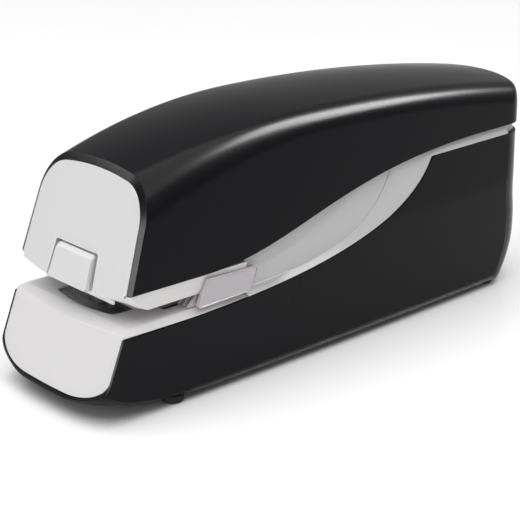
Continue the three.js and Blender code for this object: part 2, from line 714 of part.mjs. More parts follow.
function driveLever() {
  const profile = [
    [-93, 58.2], [-88, 58], [-36, 58.5], [-28, 59.4], [-12, 54.4], [16, 54.4], [16, 81.4],
    [-8, 81.4], [-24, 73], [-32, 73], [-82, 64.5], [-88, 61.2], [-93, 61.2],
  ];
  const window = [[-4.9, 57.4], [-4.9, 78.4], [12.9, 78.4], [12.9, 57.4]];
  return prismY(profile, -LEVER_HALF, LEVER_HALF, [window, ring(PIVOT_X, PIVOT_Z, PIVOT_RADIUS + GAP, 20)]);
}

const driverBlade = () =>
  cut(
    box(BLADE_X - BLADE_THICK / 2, BLADE_X + BLADE_THICK / 2, -6.2, 6.2, 49.6, 63),
    box(BLADE_X - 1, BLADE_X + 1, -2.3, 2.3, 57.2, 62.2),
  );

// ---------- structure, electrics and batteries ----------
function chassis() {
  const wall = cut(
    box(CHASSIS_X0, CHASSIS_X0 + 1.8, -CHASSIS_HALF, CHASSIS_HALF, CHASSIS_LOW, PLATE_LOW),
    box(-48, -42, -PASSAGE_HALF, PASSAGE_HALF, 38, 52),
  );
  const pedestals = [[-22, -12.5, -7.5], [22, -12.5, -7.5], [-22, 16.8, 21.5], [22, 16.8, 21.5]]
    .map(([x, y0, y1]) => box(x, x + 10, y0, y1, CHASSIS_LOW + 1, PLATE_LOW - 0.4));
  const back = SCREWS.slice(2);
  const posts = back.map(([x, y]) => rodZ(x, y, BOSS_RADIUS, 8, CHASSIS_LOW + 1, 16));
  const bores = back.map(([x, y]) => rodZ(x, y, BORE_RADIUS, 5, 19, 12));
  const boardClips = [-20, 14].map((y) => box(BOARD_X - 2, BOARD_X - 0.4, y, y + 6, CHASSIS_LOW + 1, 34));
  const floor = box(CHASSIS_X0, CHASSIS_X1, -CHASSIS_HALF, CHASSIS_HALF, CHASSIS_LOW, CHASSIS_TOP);
  return cut(join(floor, wall, ...pedestals, ...posts, ...boardClips), ...bores);
}

const batteryTray = () =>
  cut(
    box(-44.4, 71.5, -TRAY_HALF, TRAY_HALF, 5.6, 22.2),
    box(
      -44.4 + TRAY_WALL, 71.5 - TRAY_WALL, -TRAY_HALF + TRAY_WALL, TRAY_HALF - TRAY_WALL,
      5, 22.2 - TRAY_WALL,
    ),
  );

// A cylindrical cell with its raised contact, along X; facing is the way the contact points.
function cell(x, y, facing) {
  const profile = [
    [0, 0], [CELL_RADIUS - 0.6, 0], [CELL_RADIUS, 0.6], [CELL_RADIUS, CELL_LENGTH - 0.6],
    [CELL_RADIUS - 0.6, CELL_LENGTH], [2.7, CELL_LENGTH], [2.7, CELL_LENGTH + 1], [0, CELL_LENGTH + 1],
  ].map(([r, h]) => new THREE.Vector2(r, h));
  const geometry = new THREE.LatheGeometry(profile, 16);
  geometry.rotateZ((-facing * Math.PI) / 2);
  const start = facing > 0 ? x : x + CELL_LENGTH + 1;
  return solid(geometry.translate(start, y, CELL_Z));
}

const contactStrip = (x, facing) =>
  join(
    box(x, x + CONTACT_THICK, -23.5, 23.5, 7, 19),
    ...[-1, 0, 1].map((row) => {
      const cone = new THREE.CylinderGeometry(1.4, 3.4, 2.4, 12).rotateZ((-facing * Math.PI) / 2);
      return solid(cone.translate(x + CONTACT_THICK / 2 + facing * 1.2, row * CELL_PITCH, CELL_Z));
    }),
  );

const batteryDoor = () =>
  cut(
    box(DOOR_X0, DOOR_X1, -DOOR_HALF, DOOR_HALF, 3.2, 5.2),
    ...[0, 1, 2, 3].map((i) => box(55 + i * 3, 56.4 + i * 3, -9, 9, 3, 3.9)),
  );

const foot = (x, y) => {
  const profile = [
    [0, 0], [FOOT_RADIUS - 0.6, 0], [FOOT_RADIUS, 0.7], [FOOT_RADIUS, BASE_Z - 0.05], [0, BASE_Z - 0.05],
  ]
    .map(([r, h]) => new THREE.Vector2(r, h));
  return solid(new THREE.LatheGeometry(profile, 16).rotateX(Math.PI / 2).translate(x, y, 0));
};

const screw = (x, y) =>
  cut(
    join(rodZ(x, y, SCREW_HEAD, 3.5, 5.6, 16), rodZ(x, y, SCREW_SHANK, 5.5, 17, 12)),
    box(x - 2, x + 2, y - SCREW_SLOT, y + SCREW_SLOT, 3, 4.4),
    box(x - SCREW_SLOT, x + SCREW_SLOT, y - 2, y + 2, 3, 4.4),
  );

const powerInlet = () =>
  cut(
    join(box(101, 111.5, -5.5, 5.5, JACK_Z - 6, JACK_Z + 6), rodX(0, JACK_Z, 4, 108, 115.6, 20)),
    rodX(0, JACK_Z, 2.8, 106, 118, 16),
  );
const inletPin = () => rodX(0, JACK_Z, 1, 106.3, 114.6, 12);

const circuitBoard = () =>
  join(
    box(BOARD_X, BOARD_X + 1.6, -BOARD_HALF, BOARD_HALF, CHASSIS_TOP + 0.4, 58),
    box(89.4, 96, -18, -6, 30, 44),
    box(89.4, 93, 2, 10, 34, 40),
    rodX(-10, 51, 4, 89.4, 99, 16),
    rodX(14, 49, 3, 89.4, 97, 16),
  );

const TRIGGER_X = -70;
const TRIGGER_Z = 44.6;
const triggerLever = () => {
  const arm = [[-71, 36.2], [-69, 36.2], [-68.6, 44], [-69, 50.5], [-71, 50.5], [-71.4, 44]];
  const hub = rodY(TRIGGER_X, TRIGGER_Z, 2.2, 15.2, 17.8, 16);
  return cut(join(prismY(arm, 15.2, 17.8), hub), rodY(TRIGGER_X, TRIGGER_Z, 1.1, 14, 19, 14));
};
const triggerSwitch = () =>
  join(box(-86, -76, 13, 20, 43, 50.5), box(-76.2, -74.6, 15, 18, 46.5, 49));

// ---------- assembly ----------
const finish = (colour, roughness, metalness = 0) =>
  new THREE.MeshStandardMaterial({ color: colour, roughness, metalness });
const BLACK = finish("#1d1c20", 0.42);
const WHITE = finish("#e4e2e3", 0.45);
const PALE_GREY = finish("#bdb9bd", 0.45);
const LILAC = finish("#beb6c2", 0.35);
const NATURAL = finish("#d9d6cc", 0.5);
const STEEL = finish("#a9adb2", 0.3, 1);
const DARK_STEEL = finish("#55585c", 0.4, 1);
const ZINC = finish("#c3c6c8", 0.35, 1);
const RUBBER = finish("#161616", 0.9);
const BOARD = finish("#1f6b3a", 0.5);
const CELL_WRAP = finish("#26384f", 0.35);
const RED = finish("#a52a22", 0.5);

const stapler = new THREE.Group();
function place(name, form, material) {
  const mesh = new THREE.Mesh(geometryOf(form), material);
  mesh.name = name;
  stapler.add(mesh);
}

place("upper_cover", upperCover(), BLACK);
place("lower_cover", lowerCover(), BLACK);
place("front_panel", frontPanel(), WHITE);
place("upper_frame", upperFrame(), WHITE);
place("base_deck", baseDeck(), WHITE);
place("side_panel_left", sidePanel(1), PALE_GREY);
place("side_panel_right", sidePanel(-1), PALE_GREY);
place("paper_stop", paperStop(), LILAC);
place("anvil_plate", anvil(), DARK_STEEL);

place("magazine_channel", magazineChannel(), STEEL);
place("magazine_core", magazineCore(), STEEL);
place("magazine_front", magazineFront(), WHITE);
place("magazine_tab", magazineTab(), WHITE);
place("tab_pin", rodY(TAB_PIN_X, TAB_PIN_Z, 0.8, -11.2, 11.2, 12), STEEL);
place("staple_strip", stapleStrip(), ZINC);
place("staple_pusher", staplePusher(), NATURAL);
const spring = coil(1.7, 0.5, 8, 25, 8).rotateY(Math.PI / 2).translate(-53.4, 0, 44.8);
place("pusher_spring", solid(spring), STEEL);

place("cam_gear", camGear(), NATURAL);
place("reduction_gear_b", gearB(), NATURAL);
place("reduction_gear_a", gearA(), NATURAL);
place("motor_pinion", rotor(), ZINC);
place("cam_axle", axle(CAM_X, CAM_AXLE_RADIUS, AXLE_START, AXLE_END), STEEL);
place("gear_b_axle", axle(GEAR_B_X, GEAR_AXLE_RADIUS, 2.4, AXLE_END), STEEL);
place("gear_a_axle", axle(GEAR_A_X, GEAR_AXLE_RADIUS, 7.4, AXLE_END), STEEL);
place("motor", motor(), DARK_STEEL);
place("motor_mount", motorMount(), STEEL);
place("gearbox_plate_inner", gearboxInner(), NATURAL);
place("gearbox_plate_outer", gearboxOuter(), NATURAL);
place("drive_lever", driveLever(), STEEL);
place("lever_pin", rodY(PIVOT_X, PIVOT_Z, PIVOT_RADIUS, AXLE_START, AXLE_END, 16), STEEL);
const torsion = coil(4.2, 1, 5, 9).rotateX(-Math.PI / 2).translate(PIVOT_X, 3.4, PIVOT_Z);
place("lever_spring", solid(torsion), STEEL);
place("driver_blade", driverBlade(), STEEL);

place("chassis", chassis(), NATURAL);
place("battery_tray", batteryTray(), RUBBER);
place("battery_door", batteryDoor(), BLACK);
place("contact_strip_front", contactStrip(-42.6, 1), ZINC);
place("contact_strip_back", contactStrip(68.6, -1), ZINC);
for (let i = 0; i < 6; i++) {
  const row = (i % 3) - 1;
  const x = i < 3 ? FRONT_CELLS_X : BACK_CELLS_X;
  place("battery_" + (i + 1), cell(x, row * CELL_PITCH, row === 0 ? 1 : -1), CELL_WRAP);
}
place("circuit_board", circuitBoard(), BOARD);
place("power_inlet", powerInlet(), RUBBER);
place("inlet_pin", inletPin(), ZINC);
place("trigger_lever", triggerLever(), LILAC);
place("trigger_pin", rodY(TRIGGER_X, TRIGGER_Z, 0.85, 13.2, 19.8, 12), STEEL);
place("trigger_switch", triggerSwitch(), RED);
FEET.forEach(([x, y], i) => place("foot_" + (i + 1), foot(x, y), RUBBER));
SCREWS.forEach(([x, y], i) => place("base_screw_" + (i + 1), screw(x, y), ZINC));

export default stapler;
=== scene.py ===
"""Electric stapler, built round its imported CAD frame. Lengths are in millimetres until a mesh is made."""
import math

import bmesh
import bpy
import numpy as np
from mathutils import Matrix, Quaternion, Vector


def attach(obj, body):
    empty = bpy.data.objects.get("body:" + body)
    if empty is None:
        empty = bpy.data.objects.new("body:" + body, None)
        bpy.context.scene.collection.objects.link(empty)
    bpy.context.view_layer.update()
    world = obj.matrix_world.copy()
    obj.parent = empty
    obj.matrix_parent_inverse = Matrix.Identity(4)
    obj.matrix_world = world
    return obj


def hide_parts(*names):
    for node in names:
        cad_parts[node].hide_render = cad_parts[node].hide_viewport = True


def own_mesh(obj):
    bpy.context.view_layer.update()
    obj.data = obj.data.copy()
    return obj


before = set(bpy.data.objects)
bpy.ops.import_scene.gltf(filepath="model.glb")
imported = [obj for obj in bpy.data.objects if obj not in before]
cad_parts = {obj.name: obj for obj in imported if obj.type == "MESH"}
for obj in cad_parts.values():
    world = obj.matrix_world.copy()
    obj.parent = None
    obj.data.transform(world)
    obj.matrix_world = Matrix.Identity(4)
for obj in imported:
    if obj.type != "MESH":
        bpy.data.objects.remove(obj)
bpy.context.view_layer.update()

MM = 0.001
MERGE = 1e-6  # metres

# ---------- form of the body, as in the CAD ----------
GAP = 0.3
WALL = 2.2
BASE_Z = 3.0
HALF_WIDTH, WAIST_X, WAIST_FALL = 33.798, -5.0, 1.1
DRAFT, DRAFT_Z = 0.085, 46.0
BACK_X, BACK_RADIUS, BACK_CORNER = 118.0, 41.0, 5.0
NOSE_X, CREASE_Z, NOSE_LEAN, NOSE_BOW, NOSE_HALF = -109.4, 30.7, 0.402, 2.4, 33.0
TUCK_Z, TUCK = 7.5, 13.6
CORNER_Z, CORNER_ALONG, CORNER_ACROSS, EDGE_RADIUS = 16.0, 38.8, 43.3, 1.5
FRONT_X, FRONT_Z, FRONT_LEAN = -102.4, 46.3, 0.34
CROWN_Z, CROWN_X, CROWN_FRONT_RADIUS, CROWN_BACK_RADIUS, CROWN_SAG = 96.4, -11.7, 270.0, 740.0, 0.0038
CORNER_RADIUS, CORNER_GROWTH, CORNER_RUN = 9.5, 5.8, 77.0
DECK_Z = 34.0
HEAD_CURVE = [(-70.9, 46.3), (-26.0, 46.3), (-4.7, 69.5), (79.9, 69.5)]
BASE_CURVE = [(-87.5, 31.4), (-6.0, 31.4), (37.4, 45.3), (48.7, 65.4)]
LEAF_CURVE = [(-60.0, 35.8), (-4.0, 34.5), (20.0, 44.0), (30.5, 72.0)]


def smooth(value):
    t = np.clip(value, 0, 1)
    return t * t * (3 - 2 * t)


def half_width(x, z):
    return HALF_WIDTH - WAIST_FALL * ((x - WAIST_X) / 100) ** 2 - DRAFT * np.maximum(0, z - DRAFT_Z)


def round_off(overrun, along, across):
    share = np.clip(overrun / across, 0, 1)
    return along * (1 - np.sqrt(1 - share**2))


def nose_at(y, z, inset):
    tuck = TUCK * (np.maximum(0, TUCK_Z - z) / (TUCK_Z - BASE_Z)) ** 2
    low = np.clip((CORNER_Z - z) / (CORNER_Z - BASE_Z), 0, 1) ** 2.2
    along, across = EDGE_RADIUS + CORNER_ALONG * low, EDGE_RADIUS + CORNER_ACROSS * low
    side = half_width(-80, z) - inset
    bow = NOSE_BOW * (y / NOSE_HALF) ** 2
    rounding = round_off(np.abs(y) - (side - across), along, across)
    return NOSE_X + NOSE_LEAN * (z - CREASE_Z) + tuck + bow + rounding + inset


def back_at(y, z, inset, corner=BACK_CORNER):
    tuck = np.where(z < 24, 7 * (np.maximum(0, 24 - z) / 21) ** 2, 1.3 * smooth((z - 28) / 14))
    side = half_width(105, z) - inset
    arc = BACK_X - BACK_RADIUS + np.sqrt(BACK_RADIUS**2 - y**2)
    return arc - tuck - inset - round_off(np.abs(y) - (side - corner), corner, corner)


def front_at(z, offset=0.0):
    return FRONT_X + FRONT_LEAN * (z - FRONT_Z) + offset


def crown_at(x, y):
    radius = np.where(x < CROWN_X, CROWN_FRONT_RADIUS, CROWN_BACK_RADIUS)
    return CROWN_Z - (radius - np.sqrt(radius**2 - (x - CROWN_X) ** 2)) - CROWN_SAG * y**2


def bezier(controls, count=200):
    t = np.linspace(0, 1, count)[:, None]
    a, b, c, d = (np.array(p) for p in controls)
    return (1 - t) ** 3 * a + 3 * (1 - t) ** 2 * t * b + 3 * (1 - t) * t**2 * c + t**3 * d


def height_along(controls):
    """The curve as a height for each X, level before its start and after its end."""
    curve = bezier(controls)
    return lambda x: np.interp(x, curve[:, 0], curve[:, 1])


head_edge = height_along(HEAD_CURVE)
base_edge = height_along(BASE_CURVE)
leaf_edge = height_along(LEAF_CURVE)


def resample(points, count, turn_length=14.0):
    """Points spaced along a line by its length, closer where it turns."""
    points = np.asarray(points, float)
    step = np.diff(points, axis=0)
    length = np.hypot(step[:, 0], step[:, 1])
    heading = np.unwrap(np.arctan2(step[:, 1], step[:, 0]))
    turn = np.abs(np.diff(heading, prepend=heading[0]))
    measure = np.concatenate([[0], np.cumsum(length + turn_length * turn)])
    at = np.linspace(0, measure[-1], count)
    return np.column_stack([np.interp(at, measure, points[:, k]) for k in (0, 1)])


def head_outline(x, inset, count=44):
    """Half section of the head at x, from its lower edge over the shoulder to the centre line."""
    radius = CORNER_RADIUS + CORNER_GROWTH * np.clip((CROWN_X - x) / CORNER_RUN, 0, 1) ** 2 - inset
    start = math.atan(DRAFT)
    shoulder = half_width(x, 80) - inset - radius
    for _ in range(6):
        end = math.pi / 2 - math.atan(2 * CROWN_SAG * shoulder)
        centre_z = crown_at(x, shoulder) - inset - radius * math.sin(end)
        centre_y = half_width(x, centre_z + radius * math.sin(start)) - inset - radius * math.cos(start)
        shoulder = centre_y + radius * math.cos(end)
    low = head_edge(x)
    wall_z = np.linspace(min(low, centre_z) - 4, centre_z + radius * math.sin(start), 30)
    angles = np.linspace(start, end, 40)
    crown_y = np.linspace(shoulder, 0, 40)
    y = np.concatenate([half_width(x, wall_z) - inset, centre_y + radius * np.cos(angles[1:]), crown_y[1:]])
    z = np.concatenate([wall_z, centre_z + radius * np.sin(angles[1:]), crown_at(x, crown_y[1:]) - inset])
    kept = z > low + 0.05
    outline = np.column_stack([np.append(np.interp(low, z, y), y[kept]), np.append(low, z[kept])])
    return resample(outline, count)


WALL_ROWS = 26
FLOOR_ROWS = 14


def base_outline(x, inset):
    """Half section of the base at x, from its upper edge down the side and under to the centre line."""
    floor = BASE_Z + inset
    z = np.linspace(base_edge(x), floor, 90)
    edge = 0.8 * (np.maximum(0, 6 - z) / 3) ** 2
    side = np.column_stack([half_width(x, z) - edge - inset, z])
    under = np.column_stack([np.linspace(side[-1, 0], 0, 20), np.full(20, floor)])
    return np.vstack([resample(side, WALL_ROWS), resample(under, FLOOR_ROWS)[1:]])


STATIONS = np.linspace(-120, 120, 161)


def loft(outline, start, end, along, inset):
    """Points (along, around, 3) of a surface through the outlines, between two end surfaces."""
    table = np.array([outline(x, inset) for x in STATIONS])
    around = np.arange(table.shape[1])[None, :]
    share = np.asarray(along)[:, None]
    x = np.broadcast_to(-105 + 215 * share, (len(share), around.shape[1]))
    pitch = STATIONS[1] - STATIONS[0]
    for _ in range(5):
        place = np.clip((x - STATIONS[0]) / pitch, 0, len(STATIONS) - 1.001)
        index = place.astype(int)
        part = (place - index)[..., None]
        section = table[index, around] * (1 - part) + table[index + 1, around] * part
        y, z = section[..., 0], section[..., 1]
        x = (1 - share) * start(y, z, inset) + share * end(y, z, inset)
    return np.stack([x, y, z], axis=-1)


def end_cap(ring, target, face, inset, rows):
    """Rows of points over an end face, from the ring (y, z) in to the target (y, z)."""
    made = []
    for share in 1 - np.cos(np.linspace(0, math.pi / 2, rows + 1)[1:]):
        y = ring[:, 0] + (target[:, 0] - ring[:, 0]) * share
        z = ring[:, 1] + (target[:, 1] - ring[:, 1]) * share
        made.append(np.column_stack([face(y, z, inset), y, z]))
    return np.array(made)


def mirrored(half):
    """A surface over +Y and its mirror image over -Y; the centre line is shared."""
    other = half[:, :-1][:, ::-1] * np.array([1, -1, 1])
    return np.concatenate([half, other], axis=1)


# ---------- mesh helpers ----------
def mesh_object(name, points, faces):
    mesh = bpy.data.meshes.new(name)
    mesh.from_pydata([tuple(p) for p in np.asarray(points, float) * MM], [], faces)
    work = bmesh.new()
    work.from_mesh(mesh)
    bmesh.ops.remove_doubles(work, verts=work.verts, dist=MERGE)
    bmesh.ops.dissolve_degenerate(work, dist=MERGE, edges=work.edges)
    bmesh.ops.recalc_face_normals(work, faces=work.faces)
    for face in work.faces:
        face.smooth = True
    work.to_mesh(mesh)
    work.free()
    obj = bpy.data.objects.new(name, mesh)
    bpy.context.scene.collection.objects.link(obj)
    return obj


def grid_faces(rows, columns, offset=0, closed=False):
    """Quads between neighbours in a (rows, columns) grid; closed joins the last column to the first."""
    last = columns if closed else columns - 1
    faces = []
    for i in range(rows - 1):
        near, far = offset + i * columns, offset + (i + 1) * columns
        for j in range(last):
            after = (j + 1) % columns
            faces.append((near + j, near + after, far + after, far + j))
    return faces


def shell(name, outer, inner):
    """A closed shell between two grids of the same size."""
    rows, columns = outer.shape[:2]
    count = rows * columns
    points = np.concatenate([outer.reshape(-1, 3), inner.reshape(-1, 3)])
    faces = grid_faces(rows, columns) + grid_faces(rows, columns, count)
    border = (
        list(range(columns))
        + [i * columns + columns - 1 for i in range(1, rows)]
        + [(rows - 1) * columns + j for j in range(columns - 2, -1, -1)]
        + [i * columns for i in range(rows - 2, 0, -1)]
    )
    for k, a in enumerate(border):
        b = border[(k + 1) % len(border)]
        faces.append((a, b, count + b, count + a))
    return mesh_object(name, points, faces)


def stack(name, rings):
    """A closed solid through rings of points, with flat faces on the first and the last."""
    rings = np.asarray(rings, float)
    rows, columns = rings.shape[:2]
    faces = grid_faces(rows, columns, closed=True)
    faces.append(tuple(range(columns)))
    faces.append(tuple((rows - 1) * columns + j for j in range(columns)))
    return mesh_object(name, rings.reshape(-1, 3), faces)


def prism(name, outline, axis, low, high):
    """A prism along axis 0, 1 or 2; the outline's two numbers are the other axes, in order."""
    rings = []
    for level in (low, high):
        rings.append([np.insert(np.asarray(p, float), axis, level) for p in outline])
    return stack(name, rings)


def box(name, x0, x1, y0, y1, z0, z1):
    return prism(name, [(x0, y0), (x1, y0), (x1, y1), (x0, y1)], 2, z0, z1)


def circle(a, b, radius, sides=40):
    return [(a + radius * math.cos(t), b + radius * math.sin(t))
            for t in np.linspace(0, 2 * math.pi, sides, endpoint=False)]


def drawn_in(corners, inset):
    """The corners of an outline whose sides are all moved in by inset."""
    made = []
    count = len(corners)
    for i in range(count):
        here = Vector(corners[i])
        before = (Vector(corners[i - 1]) - here).normalized()
        after = (Vector(corners[(i + 1) % count]) - here).normalized()
        half = before.angle(after) / 2
        made.append(tuple(here + (before + after).normalized() * (inset / math.sin(half))))
    return made


def rounded(corners, radii, steps=6):
    """An outline with each corner rounded to its own radius."""
    made = []
    count = len(corners)
    for i, radius in enumerate(radii):
        here = Vector(corners[i])
        before = (Vector(corners[i - 1]) - here).normalized()
        after = (Vector(corners[(i + 1) % count]) - here).normalized()
        half = before.angle(after) / 2
        run = radius / math.tan(half)
        centre = here + (before + after).normalized() * (radius / math.sin(half))
        first = here + before * run - centre
        last = here + after * run - centre
        for k in range(steps + 1):
            arm = first.slerp(last, k / steps, first) if radius > 0 else first
            made.append(tuple(centre + arm))
            if radius == 0:
                break
    return made


def join(name, parts):
    """One object from several closed meshes."""
    work = bmesh.new()
    for part in parts:
        work.from_mesh(part.data)
        bpy.data.objects.remove(part)
    mesh = bpy.data.meshes.new(name)
    work.to_mesh(mesh)
    work.free()
    obj = bpy.data.objects.new(name, mesh)
    bpy.context.scene.collection.objects.link(obj)
    return obj


def carve(obj, cutters):
    """Cuts the cutters out of the object's mesh."""
    for cutter in cutters:
        step = obj.modifiers.new("cut", "BOOLEAN")
        step.operation = "DIFFERENCE"
        step.solver = "EXACT"
        step.object = cutter
    bake_modifiers(obj)
    for cutter in cutters:
        bpy.data.objects.remove(cutter)
    return obj


def bake_modifiers(obj):
    graph = bpy.context.evaluated_depsgraph_get()
    mesh = bpy.data.meshes.new_from_object(obj.evaluated_get(graph))
    obj.modifiers.clear()
    obj.data = mesh


def soften(obj, width, segments=3, angle=30.0):
    """Rounds the edges and evens the normals of the flat faces beside them."""
    edge = obj.modifiers.new("edges", "BEVEL")
    edge.width = width * MM
    edge.segments = segments
    edge.limit_method = "ANGLE"
    edge.angle_limit = math.radians(angle)
    edge.miter_outer = "MITER_ARC"
    normals = obj.modifiers.new("normals", "WEIGHTED_NORMAL")
    normals.mode = "FACE_AREA"
    normals.keep_sharp = True
    return obj


def crisp(obj, angle):
    """Smooth faces with sharp shading only over edges that turn more than the angle."""
    work = bmesh.new()
    work.from_mesh(obj.data)
    for face in work.faces:
        face.smooth = True
    for edge in work.edges:
        edge.smooth = not (edge.is_manifold and edge.calc_face_angle(0) > math.radians(angle))
    work.to_mesh(obj.data)
    work.free()
    normals = obj.modifiers.new("normals", "WEIGHTED_NORMAL")
    normals.mode = "FACE_AREA"
    normals.keep_sharp = True
    return obj


def place(obj, body, material, slot, *nodes):
    """Gives the piece its material and its body, and hides the CAD nodes that it stands for; the slot is not
    used.
    """
    obj.data.materials.clear()
    obj.data.materials.append(material)
    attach(obj, body)
    if nodes:
        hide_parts(*nodes)
    return obj


# ---------- materials ----------
class Surface:
    """A Principled material and short calls for the nodes that feed it."""

    def __init__(self, name, roughness, metallic=0.0, specular=0.5):
        self.material = bpy.data.materials.new(name)
        self.material.use_nodes = True
        self.nodes = self.material.node_tree.nodes
        self.shader = self.nodes["Principled BSDF"]
        self.shader.inputs["Roughness"].default_value = roughness
        self.shader.inputs["Metallic"].default_value = metallic
        self.shader.inputs["Specular IOR Level"].default_value = specular
        self.place = self.nodes.new("ShaderNodeTexCoord").outputs["Object"]

    def link(self, source, target):
        self.material.node_tree.links.new(source, target)

    def noise(self, scale, detail=2.0, stretch=(1, 1, 1), distortion=0.0):
        mapping = self.nodes.new("ShaderNodeMapping")
        mapping.inputs["Scale"].default_value = stretch
        self.link(self.place, mapping.inputs["Vector"])
        texture = self.nodes.new("ShaderNodeTexNoise")
        texture.inputs["Scale"].default_value = scale
        texture.inputs["Detail"].default_value = detail
        texture.inputs["Distortion"].default_value = distortion
        self.link(mapping.outputs["Vector"], texture.inputs["Vector"])
        return texture.outputs["Fac"]

    def ramp(self, source, stops, socket="Base Color"):
        ramp = self.nodes.new("ShaderNodeValToRGB")
        elements = ramp.color_ramp.elements
        while len(elements) < len(stops):
            elements.new(0.5)
        for element, (position, colour) in zip(elements, stops):
            element.position = position
            element.color = (*colour, 1)
        self.link(source, ramp.inputs["Fac"])
        self.link(ramp.outputs["Color"], self.shader.inputs[socket])
        return ramp.outputs["Color"]

    def spread(self, source, low, high, socket="Roughness"):
        span = self.nodes.new("ShaderNodeMapRange")
        span.inputs["To Min"].default_value = low
        span.inputs["To Max"].default_value = high
        self.link(source, span.inputs["Value"])
        self.link(span.outputs["Result"], self.shader.inputs[socket])

    def bump(self, source, height, strength=1.0):
        node = self.nodes.new("ShaderNodeBump")
        node.inputs["Distance"].default_value = height * MM
        node.inputs["Strength"].default_value = strength
        self.link(source, node.inputs["Height"])
        before = self.shader.inputs["Normal"].links
        if before:
            self.link(before[0].from_socket, node.inputs["Normal"])
        self.link(node.outputs["Normal"], self.shader.inputs["Normal"])


def tint(colour, factor):
    return tuple(min(1.0, c * factor) for c in colour)


def plastic(name, colour, roughness, grain=0.012, grain_scale=1400, variation=0.05, specular=0.5):
    """Moulded plastic: a fine spark-eroded grain, faint flow marks in colour and gloss."""
    surface = Surface(name, roughness, specular=specular)
    flow = surface.noise(18, 3, (0.4, 1, 1), 0.6)
    surface.ramp(flow, [(0.3, tint(colour, 1 - variation)), (0.7, tint(colour, 1 + variation))])
    surface.spread(surface.noise(60, 4), roughness * 0.9, roughness * 1.1)
    surface.bump(surface.noise(grain_scale, 2), grain)
    return surface


def metal(name, colour, roughness, stretch=(0.05, 1, 1), brush=900, depth=0.004, variation=0.12):
    """Sheet or turned metal: brush or draw marks along one axis, and a cloudy tone."""
    surface = Surface(name, roughness, metallic=1.0)
    marks = surface.noise(brush, 3, stretch)
    cloud = surface.noise(70, 3)
    surface.ramp(cloud, [(0.3, tint(colour, 1 - variation)), (0.7, tint(colour, 1 + variation))])
    surface.spread(marks, roughness * 0.75, roughness * 1.25)
    surface.bump(marks, depth)
    return surface


def make_materials():
    made = {}
    cover = plastic("cover_satin_black", (0.0048, 0.0043, 0.0058), 0.25, 0.006, 1500, 0.06, 0.10)
    made["cover"] = cover
    made["front"] = plastic("front_white", (0.60, 0.592, 0.60), 0.42, 0.010, 1300, 0.008, 0.2)
    made["frame"] = plastic("frame_white", (0.73, 0.715, 0.705), 0.45, 0.010, 1300, 0.01, 0.1)
    made["deck"] = plastic("deck_white", (0.62, 0.608, 0.610), 0.45, 0.010, 1300, 0.008, 0.06)
    # The band is the same white plastic as the chassis. Its colour is set darker than the other whites, which
    # paints part of the shade on its side-facing surface.
    made["band"] = plastic("band_white_painted_shade", (0.53, 0.522, 0.528), 0.42, 0.010, 1300, 0.01, 0.10)
    made["tab"] = plastic("tab_white", (0.61, 0.602, 0.608), 0.38, 0.008, 1300, 0.008, 0.2)
    guide = plastic("guide_lilac", (0.51, 0.475, 0.50), 0.28, 0.006, 1200, 0.02, 0.16)
    guide.shader.inputs["Subsurface Weight"].default_value = 0.35
    guide.shader.inputs["Subsurface Scale"].default_value = 2.5 * MM
    guide.shader.inputs["Subsurface Radius"].default_value = (1.0, 0.8, 1.0)
    made["guide"] = guide
    made["anvil"] = metal("anvil_dark_steel", (0.34, 0.335, 0.35), 0.28, (1, 0.06, 1))
    made["steel"] = metal("bright_steel", (0.56, 0.57, 0.58), 0.24)
    made["brass"] = metal("drawn_brass", (0.70, 0.48, 0.20), 0.28)
    made["motor"] = metal("motor_can", (0.42, 0.42, 0.43), 0.32, (1, 0.05, 1))
    made["contact"] = metal("nickel_contact", (0.60, 0.58, 0.54), 0.22, (1, 0.1, 1))
    made["natural"] = plastic("natural_acetal", (0.72, 0.69, 0.60), 0.42, 0.008, 1200, 0.03)
    made["dark"] = plastic("tray_black", (0.016, 0.016, 0.017), 0.5, 0.014, 1100, 0.1)
    made["rubber"] = plastic("foot_rubber", (0.012, 0.012, 0.012), 0.82, 0.03, 900, 0.15, 0.3)
    made["switch"] = plastic("switch_red", (0.34, 0.03, 0.02), 0.4, 0.008, 1200, 0.05)
    made["staples"] = staple_metal()
    made["board"] = board_green()
    made["cell"] = cell_wrap("cell_wrap_forward", False)
    made["cell_back"] = cell_wrap("cell_wrap_backward", True)
    return {name: surface.material for name, surface in made.items()}


def staple_metal():
    """Zinc wire, glued side by side: one groove for each half millimetre of the strip."""
    surface = metal("staple_zinc", (0.62, 0.63, 0.64), 0.25, (1, 0.1, 1))
    wave = surface.nodes.new("ShaderNodeTexWave")
    wave.bands_direction = "X"
    wave.inputs["Scale"].default_value = 100.0
    surface.link(surface.place, wave.inputs["Vector"])
    surface.bump(wave.outputs["Fac"], 0.12)
    return surface


def board_green():
    """Solder resist over copper tracks."""
    surface = Surface("board_green", 0.35)
    tracks = surface.nodes.new("ShaderNodeTexBrick")
    tracks.inputs["Scale"].default_value = 260.0
    tracks.inputs["Color1"].default_value = (0.010, 0.10, 0.035, 1)
    tracks.inputs["Color2"].default_value = (0.012, 0.13, 0.045, 1)
    tracks.inputs["Mortar"].default_value = (0.03, 0.20, 0.08, 1)
    surface.link(surface.place, tracks.inputs["Vector"])
    surface.link(tracks.outputs["Color"], surface.shader.inputs["Base Color"])
    surface.bump(surface.noise(500), 0.02)
    return surface


CELL_STARTS = (-39.2, 12.6)
CELL_PITCH_X = CELL_STARTS[1] - CELL_STARTS[0]


